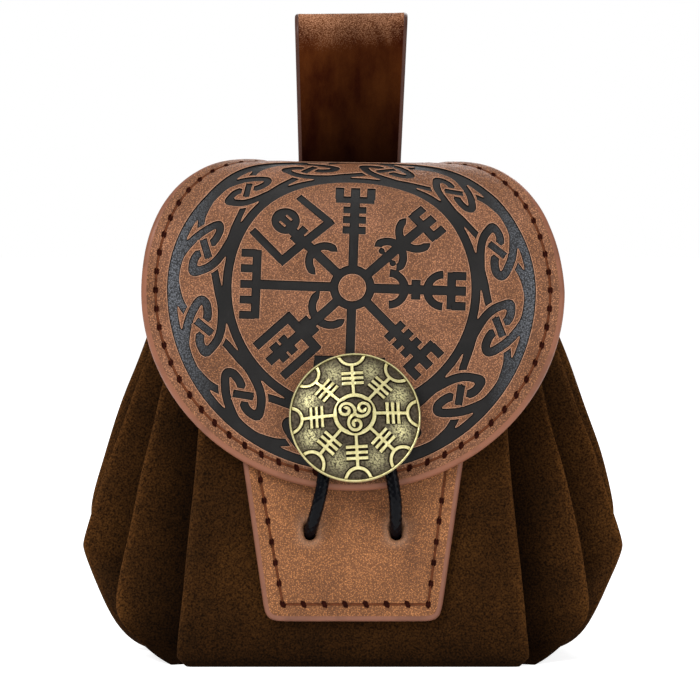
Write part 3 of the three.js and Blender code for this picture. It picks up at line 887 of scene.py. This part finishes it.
def makeTab():
    face = [onFront(0, up, front["tabFace"]) for up in tabSpec["run"]]
    side = sideProfile([lineRun((face[0].y, face[0].z), (face[1].y, face[1].z))])
    inner = insetLoop(tabOutline(), tabSpec["edge"])
    seam, holes = [], []
    for a, b in zip(tabSeam, tabSeam[1:]):
        seam += evenRun([Vector(a), Vector(b)], stitchSpec["seamStep"])[:-1]
        holes += evenRun([Vector(a), Vector(b)], tabSpec["stitchStep"])[:-1]
    stitches = list(zip(holes, holes[1:]))
    paint, bare, groove, hole = range(4)
    slots = slotLoops(tabSpec["slotEase"])
    marks = [(bare, insetLoop(inner, tabSpec["paint"])),
             (bare, strokeLoop(seam[::3], 2 * tabSpec["pinchWide"])),
             (groove, strokeLoop(seam[::3], 2 * stitchSpec["groove"]))]
    marks += [(bare, loop) for loop in slotLoops(tabSpec["wearAndHighlightWide"])]
    marks += stitchHoles(stitches, hole) + [(void, loop) for loop in slots]
    bm = cutSheet(inner, marks, tabSpec["spacing"])
    wearAndHighlight = bm.verts.layers.float.new("wearAndHighlight")
    for v in bm.verts:          # the cord has rubbed the slots pale
        away = min((v.co.to_2d() - p).length for loop in slots for p in loop)
        v[wearAndHighlight] = tabSpec["wearAndHighlight"] * max(1 - away / tabSpec["wearAndHighlightWide"], 0)
    sinkSeam(bm, seam, tabSpec, groove, hole)
    edgeAndLay(bm, inner, slots, tabSpec, side, (paint, bare))
    materials = [tabPaint, tabTan, stitchGroove, stitchDark]
    finishPiece(bm, "tab_leather", materials, ["front_tab"])
    makeThread("tab_thread", stitches, side)


tabDyes = (tone(121, 75, 41), tone(140, 89, 50), tone(152, 98, 57))
tabTan = dyedLeather("tabTan", tabDyes, tone(186, 144, 116))
tabPaint = edgePaint("tabPaint", tone(131, 86, 67))
makeTab()


# Belt loop: one strap folded over, its two layers sewn together below
loopSpec = {"y": 24.005, "top": 181.5, "fold": 7.3, "halfTop": 16.4, "halfLow": 14.8, "end": 88,
            "flapTop": 138.16, "straightTo": 140, "meets": 114, "lies": 5.5, "ease": 12, "thick": 2.6,
            "edge": 0.9, "seam": 0.1, "paint": 0.15, "spacing": 3.0, "underSpacing": 3.0, "corner": 3.0,
            "shift": (-0.9, -0.45), "tip": 0.2, "boxHalf": 10.5, "boxHigh": 9.0, "boxUp": 13,
            "edgeStep": 1.4, "stitchStep": 4.2, "holeSteps": [(0.1, 0.3), (0.12, 0.5)]}
strapLook = {"grain": 2600, "specular": 0.01, "rough": (0.62, 0.48), "bump": (0.4, 0.12),
             "low": (tone(40, 11, 3), tone(68, 33, 10)), "lit": (tone(90, 57, 37), tone(146, 104, 78)),
             "streak": (120, 6.0, 0.65), "stretch": (1, 1, 0.4), "lowOver": (0.35, 0.65),
             "litOver": (0.2, 0.6), "speck": (0, 1, -0.15, 0.15), "patch": (0.3, 0.7, -0.4, 0.05),
             "fold": (0.168, 0.1815), "foldOver": (0.1, 0.9),
             "shade": (0.138, 0.172, 0.24, 1.05), "glint": (0.1765, 0.18, 0.0, 0.4),
             "middle": 0.003, "sides": (0.006, 0.0155, 0.97, 1.38)}


def waxedStrap():               # dark brown leather: painted shade low down behind the flap, a painted highlight over the fold, painted light towards both sides
    look = strapLook
    material, tree, base, tops = grained("waxedStrap", look)
    place = objectPlace(tree)
    across, height = axes(tree, place)["X"], axes(tree, place)["Z"]
    drawn = node(tree, "ShaderNodeMapping", {"Vector": place, "Scale": look["stretch"]}).outputs["Vector"]
    streak = cloud(tree, drawn, *look["streak"])
    low = mixColour(tree, spread(tree, streak, *look["lowOver"]), *look["low"])
    lit = mixColour(tree, spread(tree, tops, *look["litOver"]), *look["lit"])
    speck, patch = spread(tree, tops, *look["speck"]), spread(tree, streak, *look["patch"])
    # the pale fold is a painted highlight
    rise = maths(tree, "ADD", spread(tree, height, *look["fold"]), maths(tree, "ADD", speck, patch))
    colour = mixColour(tree, spread(tree, rise, *look["foldOver"]), low, lit)
    # painted shade low down behind the flap and a painted glint at the top
    upright = maths(tree, "ADD", spread(tree, height, *look["shade"]), spread(tree, height, *look["glint"]))
    away = maths(tree, "ABSOLUTE", maths(tree, "SUBTRACT", across, look["middle"]))
    # painted light, paler towards both sides
    shade = maths(tree, "MULTIPLY", upright, spread(tree, away, *look["sides"]))
    tree.links.new(tinted(tree, colour, shade), base)
    return material


def loopSide():
    y, fold, straightTo = loopSpec["y"], loopSpec["fold"], loopSpec["straightTo"]
    high, back, lies = loopSpec["top"] - fold, y + 2 * fold, y + loopSpec["lies"]
    meets, ease = loopSpec["meets"], loopSpec["ease"]
    bend = [(back, straightTo, 0), (back, straightTo - ease, 0), (lies, meets + ease, 0), (lies, meets, 0)]
    side = sideProfile([
        lineRun((y, loopSpec["end"]), (y, high)),
        arcRun((y + fold, high), fold, 180, 0),
        lineRun((back, high), (back, straightTo)),
        [Vector((p.x, p.y)) for p in interpolate_bezier(*bend, 40)],
        lineRun((lies, meets), (lies, loopSpec["end"])),
    ])
    side["nudge"] = loopLean
    return side


def loopShare(z):               # 0 at the flap and below, 1 at the top of the loop
    return clamp((z - loopSpec["flapTop"]) / (loopSpec["top"] - loopSpec["flapTop"]))


def loopHalf(side, at):
    share = loopShare(sideAt(side, at)[0].y)
    return loopSpec["halfLow"] + (loopSpec["halfTop"] - loopSpec["halfLow"]) * share


def loopLean(flat, height):     # the strap stands a little to the left, its right edge higher
    share = loopShare(height)
    low, high = loopSpec["shift"]
    return Vector((low + (high - low) * share, 0, loopSpec["tip"] * share * flat.x / loopSpec["halfTop"]))


def loopOutline(side):
    long, corner = side["lengths"][-1], loopSpec["corner"]
    turn = [pi / 2 * i / 6 for i in range(7)]
    low, high = loopHalf(side, 0) - corner, loopHalf(side, long) - corner
    right = [(low + corner * sin(a), corner - corner * cos(a)) for a in turn]
    for i in range(1, 100):
        at = corner + (long - 2 * corner) * i / 100
        right.append((loopHalf(side, at), at))
    right += [(high + corner * cos(a), long - corner + corner * sin(a)) for a in turn]
    left = [(-x, y) for x, y in reversed(right)]
    return evenLoop([Vector(p) for p in right + left], loopSpec["edgeStep"])


def makeLoop():
    side = loopSide()
    inner = insetLoop(loopOutline(side), loopSpec["edge"])
    middle = side["lengths"][-1] - loopSpec["boxUp"]
    half, high = loopSpec["boxHalf"], loopSpec["boxHigh"]
    box = [Vector((x * half, middle + y * high)) for x, y in ((-1, -1), (1, -1), (1, 1), (-1, 1))]
    stitches = closedSpans(evenLoop(box, loopSpec["stitchStep"]))
    paint, bare, hole = range(3)
    marks = [(bare, insetLoop(inner, loopSpec["paint"]))] + stitchHoles(stitches, hole)
    bm = cutSheet(inner, marks, loopSpec["spacing"])
    sink(bm, (hole,), loopSpec["holeSteps"], hole)
    edgeAndLay(bm, inner, [], loopSpec, side, (paint, bare))
    finishPiece(bm, "loop_leather", [loopPaint, loopBrown, stitchDark], ["belt_loop"])
    makeThread("loop_thread", stitches, side)


loopBrown = waxedStrap()
loopPaint = edgePaint("loopPaint", tone(72, 41, 30))
makeLoop()


# Suede pouch: fold lines of the right half, from the front panel's edge round to the back
pouchSpec = {"wall": 1.6, "thinTo": 14, "thinOver": 30, "thinnest": 0.12, "sideRows": 60, "underRows": 20,
             "cutSteps": 6, "cutMost": 0.45, "panelSteps": 6, "bulge": 0.45, "flatSlope": 0.2,
             "flatFrom": 12, "smooth": 0.3, "ripple": 0.55, "rippleScale": 0.055, "rippleFrom": 34,
             "rippleOver": 12, "rippleUp": 8, "crestHighlight": -0.9, "fade": 0.8, "under": 0.6}
foldKeys = ("fold", "mouth", "belly", "tip", "floor", "sag", "cut", "deep", "soften")
pouchFolds = [dict(zip(foldKeys, row)) for row in (     # deep says how much painted shade lies in a tuck
    ("panelEdge", (41, 0, 112), (45.2, 0, 47), (50, 0, 3.2), (46.8, -34.2), 1.15, 3.2, 0, 0.14),
    ("panelTuck", (34.5, -4, 112), (37.5, -14, 47), (42.5, -25, 1.2), (42.8, -26.5), 1, 2, 1.0, 0),
    ("firstRidge", (45, -3, 112), (61.8, -14.5, 46), (67.9, -19, 12.4), (51, -31.4), 1.3, 3.2, 0, 0.15),
    ("firstTuck", (37.5, 2.5, 113), (52.5, -5.5, 46), (59, -9.5, 13), (44, -9.5), 1.8, 2, 0.75, 0.14),
    ("secondRidge", (48.5, 6, 114), (72.9, -3, 47), (77, -4, 30), (52, -3.5), 3.2, 3, 0, 0.14),
    ("secondTuck", (41, 10, 115), (61.5, 3.5, 49), (66, 4, 28), (44, 3), 2.4, 2, 0.7, 0.14),
    ("thirdRidge", (48.3, 13.5, 117), (72.4, 9, 57), (75.6, 9, 31), (47, 9), 2.6, 2.8, 0, 0.24),
    ("backTuck", (40.5, 16, 118), (60, 14.6, 52), (62, 14, 30), (40, 12), 2.2, 1.6, 0.7, 0.14),
    ("backCorner", (43.5, 20.4, 120), (61, 20.4, 52), (62, 19.6, 26), (41, 17), 2, 2.2, 0, 0.14),
    ("backMiddle", (21, 20.4, 120), (30, 20.4, 52), (30, 19.6, 10), (21, 17), 1.6, 0, 0, 0.14),
)]
suedeLook = {"blotch": 60, "dyes": (tone(34, 19, 6), tone(41, 23, 7), tone(48, 28, 9)), "fibre": 1900,
             "nap": (0.36, 0.64), "fleck": (0.12, 0.12, 0.12, 1), "foldShading": (-1, 1, 2.1, 0.22),
             "lowShading": (0.002, 0.016, 0.55, 1.0), "sides": (0.048, 0.07, 1.0, 1.5), "bump": (0.5, 0.25)}


def nappedSuede():              # painted shade in the tucks and towards the bottom, a painted highlight on the crests, painted light on the outer pleats
    look = suedeLook
    material, tree, shader = newMaterial("nappedSuede", {
        "Roughness": 0.95, "Specular IOR Level": 0.04, "Sheen Weight": 0.22, "Sheen Roughness": 0.4,
        "Sheen Tint": tone(140, 88, 36)})
    place = objectPlace(tree)
    nap = spread(tree, cloud(tree, place, look["fibre"], 3.0, 0.7), *look["nap"])
    fleck = mixColour(tree, nap, look["fleck"], white)
    colour = mixColour(tree, 1.0, dyed(tree, look["blotch"], *look["dyes"]), fleck, "OVERLAY")
    # painted shade towards the bottom
    lowShading = spread(tree, axes(tree, place)["Z"], *look["lowShading"])
    # painted light, paler on the outer pleats
    sides = spread(tree, maths(tree, "ABSOLUTE", axes(tree, place)["X"]), *look["sides"])
    # painted shade in the tucks and a painted highlight on the crests, stored on the mesh
    foldShading = spread(tree, painted(tree, "tuck"), *look["foldShading"])
    paintedShading = maths(tree, "MULTIPLY", foldShading, maths(tree, "MULTIPLY", lowShading, sides))
    tree.links.new(tinted(tree, colour, paintedShading), shader["Base Color"])
    bumpInto(tree, shader, nap, *look["bump"])
    return material


def foldSpot(row, v):           # 0 to 1 from mouth through belly to tip, 1 to 2 sagging in to the bottom
    if v <= 1:
        parts = (2 * (v - 0.5) * (v - 1), -4 * v * (v - 1), 2 * v * (v - 0.5))
        spot = Vector((0, 0, 0))
        for part, key in zip(parts, ("mouth", "belly", "tip")):
            spot += part * Vector(row[key])
        if row["fold"] == "panelEdge":
            spot.y = front["y"] + spot.z * tan(front["lean"])
        return spot
    tip = foldSpot(row, 1)
    spot = tip.lerp(Vector((*row["floor"], 0)), v - 1)
    spot.z = tip.z * (2 - v) ** row["sag"]
    return spot


def softSpot(row, v):           # the same line with its turn at the tip rounded off
    if v in (0, 2) or not row["soften"]:
        return foldSpot(row, v)
    near = [clamp(v + row["soften"] * k / 4, 0, 2) for k in range(-4, 5)]
    return sum((foldSpot(row, u) for u in near), Vector()) / len(near)


def pouchRing(v):               # one turn round the pouch, folds rounded and panels a little full
    right = [(softSpot(row, v), row["cut"], row["deep"]) for row in pouchFolds]
    left = [(Vector((-p.x, p.y, p.z)), cut, deep) for p, cut, deep in reversed(right)]
    ends = [(Vector((0, p.y, p.z)), 0, 0) for p, _, _ in (right[0], right[-1])]
    corners = [ends[0]] + right + [ends[1]] + left
    arcs = []
    for i, (spot, cut, _) in enumerate(corners):
        near = [corners[i - 1][0], corners[(i + 1) % len(corners)][0]]
        a, b = [spot.lerp(p, min(pouchSpec["cutMost"], cut / (p - spot).length)) for p in near]
        steps = pouchSpec["cutSteps"] if cut else 0
        shares = [k / max(1, steps) for k in range(steps + 1)]
        arcs.append([a.lerp(spot, u).lerp(spot.lerp(b, u), u) for u in shares])
    ring, shade = [], []
    for i, arc in enumerate(arcs):
        after = (i + 1) % len(arcs)
        run = arcs[after][0] - arc[-1]
        out = Vector((run.y, -run.x, 0)).normalized()
        level = abs(run.y) < pouchSpec["flatSlope"] * abs(run.x)
        full = 0 if level and run.length > pouchSpec["flatFrom"] else pouchSpec["bulge"]
        last, deep, nextDeep = len(arc) - 1, corners[i][2], corners[after][2]
        swell = [4 * k * (last - k) / max(1, last) ** 2 for k in range(len(arc))]
        ring += arc
        # each point's painted shade: dark in the tucks, a painted highlight along the middle of each crest
        shade += [deep or pouchSpec["crestHighlight"] * s for s in swell]
        for k in range(1, pouchSpec["panelSteps"]):
            u = k / pouchSpec["panelSteps"]
            ring.append(arc[-1] + run * u + out * full * 4 * u * (1 - u))
            shade.append((deep * (1 - u) + nextDeep * u) ** pouchSpec["fade"])
    return ring, shade


def makePouch():
    rows, under = pouchSpec["sideRows"], pouchSpec["underRows"]
    levels = [i / rows for i in range(1, rows + 1)] + [1 + (i + 1) / under for i in range(under)]
    bm = bmesh.new()
    order = bm.verts.layers.int.new("order")
    tuck = bm.verts.layers.float.new("tuck")
    mouth, shade = pouchRing(0)
    ring = [bm.verts.new(p) for p in mouth]
    for i, v in enumerate(ring):
        v[order] = i
        v[tuck] = shade[i]
    edges = [bm.edges.new((v, ring[(i + 1) % len(ring)])) for i, v in enumerate(ring)]
    for level in levels:
        spots = pouchRing(level)[0]
        low = clamp(2 * level - 2)
        edges, ring, _ = nextRing(bm, edges)
        for v in ring:
            v.co = spots[v[order]]
            # the rows under the pouch take painted shade
            v[tuck] = shade[v[order]] + (pouchSpec["under"] - shade[v[order]]) * low
    floor = {v for e in edges for v in e.verts}
    bmesh.ops.holes_fill(bm, edges=edges, sides=0)
    bmesh.ops.recalc_face_normals(bm, faces=bm.faces)
    loose = [v for v in bm.verts if v not in floor and not v.is_boundary]
    for _ in range(2):
        bmesh.ops.smooth_vert(bm, verts=loose, factor=pouchSpec["smooth"],
                              use_axis_x=True, use_axis_y=True, use_axis_z=True)
    bm.normal_update()
    for v in loose:             # soft ripples, none under the tab or behind the flap's tongue
        share = clamp((abs(v.co.x) - pouchSpec["rippleFrom"]) / pouchSpec["rippleOver"])
        share *= min(v.co.z / pouchSpec["rippleUp"], 1)
        wave = noise.noise(v.co * pouchSpec["rippleScale"])
        v.co += v.normal * pouchSpec["ripple"] * wave * share
    pouch = finishPiece(bm, "suede_pouch", [suede], ["pouch_body"], sharp=75)
    wall = pouch.vertex_groups.new(name="wall")     # thinner low down, where the folds run out
    for v in pouch.data.vertices:
        up = (v.co.z / mm - pouchSpec["thinTo"]) / pouchSpec["thinOver"]
        wall.add([v.index], clamp(up, pouchSpec["thinnest"]), "REPLACE")
    shell = pouch.modifiers.new("wall", "SOLIDIFY")
    shell.thickness = pouchSpec["wall"] * mm
    shell.offset = -1
    shell.vertex_group = "wall"


suede = nappedSuede()
makePouch()


# Domed button: raised lines over a dark ground, on a collar and post
buttonSpec = {"turn": 3.3, "field": 17.45, "edge": 5.3, "height": 4.0, "inside": 0.12, "spacing": 0.75,
              "hub": 5.35, "hubWide": 1.24, "stem": 1.06, "bar": 0.98, "barHalf": 3.05,
              "bars": (8.9, 10.4, 11.9), "rim": 17.9, "arc": 3.5, "arcWide": 1.06,
              "spiralAt": 2.95, "spiralTurn": 153, "spiralWide": 1.06, "patinaAndShadow": 0.3,
              "flankSteps": [(0.1, -0.32)], "crownSteps": [(0.1, -0.14), (0.1, -0.04)],
              "brightIn": 0.3, "steep": 0.9, "brightAbove": 4.5, "brightBeyond": 17,
              "wearAndHighlightAt": 13.2, "wearAndHighlightWide": 2.6, "wearAndHighlightLeast": 0.35,
              "headAbove": 4, "headBeyond": 5, "tilt": 6, "tiltAt": 6.0, "shift": 0.5, "lower": 0.16}
spiral = [(0, 2.9), (60, 2.2), (115, 1.72), (205, 1.36), (295, 1.36), (385, 1.1), (450, 0.62), (500, 0.35)]
buttonRim = [                   # radius and height from the field's edge round to the foot of the post
    (17.5, 5.65), (17.58, 5.9), (17.74, 5.95), (17.92, 5.75), (18, 5.4), (18, 4.7), (17.85, 4.35),
    (17.5, 4.2), (17, 4.25), (13.5, 5.2), (9, 6.1), (4.8, 6.6), (4.8, 0.4), (4.6, 0.3), (2.5, 0.3),
    (2.5, -3),
]
brassLook = {"duller": 0.2, "finer": 1.6, "grit": (0.25, 0.75), "bump": (0.3, 0.1)}
eighth = pi / 4


def agedBrass(name, bright, dull, roughness, scale, metal=1.0, wearAndSheen=None):
    material, tree, shader = newMaterial(name, {"Metallic": metal})
    spots = useGroup(tree, tarnish, {"Scale": scale})["Mask"]
    colour = mixColour(tree, spots, dull, bright)
    if wearAndSheen:
        finer = useGroup(tree, tarnish, {"Scale": brassLook["finer"] * scale})["Mask"]
        grit = spread(tree, finer, *brassLook["grit"])
        colour = mixColour(tree, maths(tree, "MULTIPLY", painted(tree, "wearAndHighlight"), grit), colour, wearAndSheen)
    tree.links.new(colour, shader["Base Color"])
    dullest = roughness + brassLook["duller"]
    tree.links.new(spread(tree, spots, 0, 1, dullest, roughness), shader["Roughness"])
    bumpInto(tree, shader, spots, *brassLook["bump"])
    return material


def buttonLines():              # the lines of the relief, each with its width
    rim, half, radius = buttonSpec["rim"], buttonSpec["barHalf"], buttonSpec["arc"]
    swing = [radians(96 + 168 * i / 20) for i in range(21)]
    arc = [Vector((rim + radius * cos(a), radius * sin(a))) for a in swing]
    stave = [([Vector((buttonSpec["hub"], 0)), Vector((rim - radius, 0))], buttonSpec["stem"]),
             (arc, buttonSpec["arcWide"])]
    stave += [([Vector((at, -half)), Vector((at, half))], buttonSpec["bar"]) for at in buttonSpec["bars"]]
    lines = []
    for k in range(8):
        turn = Matrix.Rotation(eighth * k, 2)
        lines += [([turn @ p for p in run], wide) for run, wide in stave]
    curls = []
    for k in range(3):
        turn = radians(buttonSpec["spiralTurn"] + 120 * k)
        centre = around(turn, buttonSpec["spiralAt"])
        curl = [centre + around(turn + pi + radians(a), r) for a, r in smoothRun(spiral, 6)]
        curls.append((curl, buttonSpec["spiralWide"]))
    return lines, curls


def buttonMarks(ground, patinaAndShadow, raised):    # dark patina and painted shadow lie along both sides of each raised line
    hub, half, dark = buttonSpec["hub"], buttonSpec["hubWide"] / 2, buttonSpec["patinaAndShadow"]
    rings = [(patinaAndShadow, hub + half + dark), (raised, hub + half),
             (patinaAndShadow, hub - half), (ground, hub - half - dark)]
    lines, curls = buttonLines()
    marks = [(patinaAndShadow, strokeLoop(run, wide + 2 * dark)) for run, wide in lines]
    marks += [(kind, discLoop((0, 0), radius, 72)) for kind, radius in rings]
    marks += [(patinaAndShadow, strokeLoop(run, wide + 2 * dark)) for run, wide in curls]
    marks += [(raised, strokeLoop(run, wide)) for run, wide in lines + curls]
    edge = buttonSpec["field"] - buttonSpec["inside"]
    return [(kind, [p if p.length < edge else p.normalized() * edge for p in loop]) for kind, loop in marks]


def makeButton():
    ground, raised, patinaAndShadow, foot = range(4)
    bm = cutSheet(discLoop((0, 0), buttonSpec["field"], 160), buttonMarks(ground, patinaAndShadow, raised),
                  buttonSpec["spacing"])
    # the flanks of the raised lines take the dark patina and painted shadow
    sink(bm, (raised,), buttonSpec["flankSteps"], patinaAndShadow)
    sink(bm, (raised,), buttonSpec["crownSteps"], raised)
    bright = buttonSpec["field"] - buttonSpec["brightIn"]
    for face in bm.faces:       # the arcs run bright into the rim
        if face.material_index == patinaAndShadow and face.calc_center_median().length > bright:
            face.material_index = raised if face.normal.z < buttonSpec["steep"] else patinaAndShadow
    wearAndHighlight = bm.verts.layers.float.new("wearAndHighlight")
    least = buttonSpec["wearAndHighlightLeast"]
    for v in bm.verts:          # brighter in the middle of each open field, most to the left and right: worn brass with a painted highlight
        a = eighth * (floor(atan2(v.co.y, v.co.x) / eighth) + 0.5)
        away = (v.co.to_2d() - around(a, buttonSpec["wearAndHighlightAt"])).length / buttonSpec["wearAndHighlightWide"]
        v[wearAndHighlight] = (least + (1 - least) * abs(cos(a))) * exp(-away ** 2)
    edges = [e for e in bm.edges if e.is_boundary]
    for v in bm.verts:          # the dome
        share = v.co.to_2d().length / buttonSpec["field"]
        v.co.z += buttonSpec["edge"] + buttonSpec["height"] * (1 - share ** 2)
    for radius, height in buttonRim:
        edges, ring, faces = nextRing(bm, edges)
        for v in ring:
            v.co = (v.co.to_2d().normalized() * radius).to_3d() + Vector((0, 0, height))
        shown = height > buttonSpec["brightAbove"] and radius > buttonSpec["brightBeyond"]
        for face in faces:
            face.material_index = raised if shown else foot
    bmesh.ops.holes_fill(bm, edges=edges, sides=0)
    bmesh.ops.recalc_face_normals(bm, faces=bm.faces)
    spin = Matrix.Rotation(radians(buttonSpec["turn"]), 4, "Z")
    bmesh.ops.transform(bm, matrix=spin, verts=bm.verts)
    above, beyond = buttonSpec["headAbove"], buttonSpec["headBeyond"]
    head = [v for v in bm.verts if v.co.z > above or v.co.to_2d().length > beyond]
    tilt = Matrix.Rotation(radians(-buttonSpec["tilt"]), 3, "X")
    bmesh.ops.rotate(bm, cent=Vector((0, 0, buttonSpec["tiltAt"])), matrix=tilt, verts=head)
    bmesh.ops.translate(bm, vec=(buttonSpec["shift"], -buttonSpec["lower"], 0), verts=head)
    lie = Matrix.Rotation(pi / 2 - front["lean"], 4, "X")
    bmesh.ops.transform(bm, matrix=lie, verts=bm.verts)
    bmesh.ops.translate(bm, vec=onFront(0, front["buttonUp"], front["flapFace"]), verts=bm.verts)
    materials = [brassGround, brassRaised, brassPatinaAndShadow, brassFoot]
    finishPiece(bm, "brass_button", materials, ["button"], sharp=50)


brassRaised = agedBrass("brassRaised", tone(232, 223, 168), tone(204, 194, 136), 0.4, 700, 0.8)
# its pale patches are worn brass with a painted highlight
brassGround = agedBrass("brassGround", tone(90, 81, 66), tone(50, 43, 37), 0.5, 1300, 0.9,
                        tone(240, 232, 176))
# patina, deepened as painted shadow beside the raised lines
brassPatinaAndShadow = agedBrass("brassPatinaAndShadow", tone(58, 49, 38), tone(30, 25, 20), 0.55, 900)
brassFoot = agedBrass("brassFoot", tone(150, 132, 84), tone(100, 86, 52), 0.4, 500)
screwBrass = agedBrass("screwBrass", tone(168, 148, 96), tone(118, 102, 64), 0.35, 600)
makeButton()
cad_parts["button_back_screw"].data.materials.clear()
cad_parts["button_back_screw"].data.materials.append(screwBrass)


# Floor and light
stageSpec = {"floor": 4.0, "floorTone": (0.6, 0.6, 0.6, 1), "glow": 0.8, "world": 0.4, "aim": (0, 0, 80),
             "lights": [("key", (-560, -620, 820), 380, 7.0), ("fill", (760, -640, 420), 600, 2.4),
                        ("top", (0, 60, 900), 420, 1.6), ("back", (150, 900, 600), 500, 3.5)]}


def setStage():
    material, _, _ = newMaterial("paleFloor", {
        "Roughness": 0.9, "Base Color": stageSpec["floorTone"], "Emission Color": white,
        "Emission Strength": stageSpec["glow"]})
    bm = bmesh.new()
    bmesh.ops.create_grid(bm, x_segments=1, y_segments=1, size=stageSpec["floor"])
    floor = addObject("floor", intoMesh(bm, "floor", [material]))
    for name, at, size, power in stageSpec["lights"]:
        lamp = bpy.data.lights.new(name, "AREA")
        lamp.size = size * mm
        lamp.energy = power
        standAt(addObject(name, lamp), at, stageSpec["aim"])
    world = bpy.data.worlds.new("studio")
    world.use_nodes = True
    tree = world.node_tree
    sky = tree.nodes["Background"].inputs
    sky["Color"].default_value = white
    # the backdrop itself stays white
    ray = node(tree, "ShaderNodeLightPath", {}).outputs["Is Camera Ray"]
    tree.links.new(spread(tree, ray, 0, 1, stageSpec["world"], 1.0), sky["Strength"])
    bpy.context.scene.world = world
    bpy.context.scene.view_settings.view_transform = "Standard"


setStage()
print("stage set")
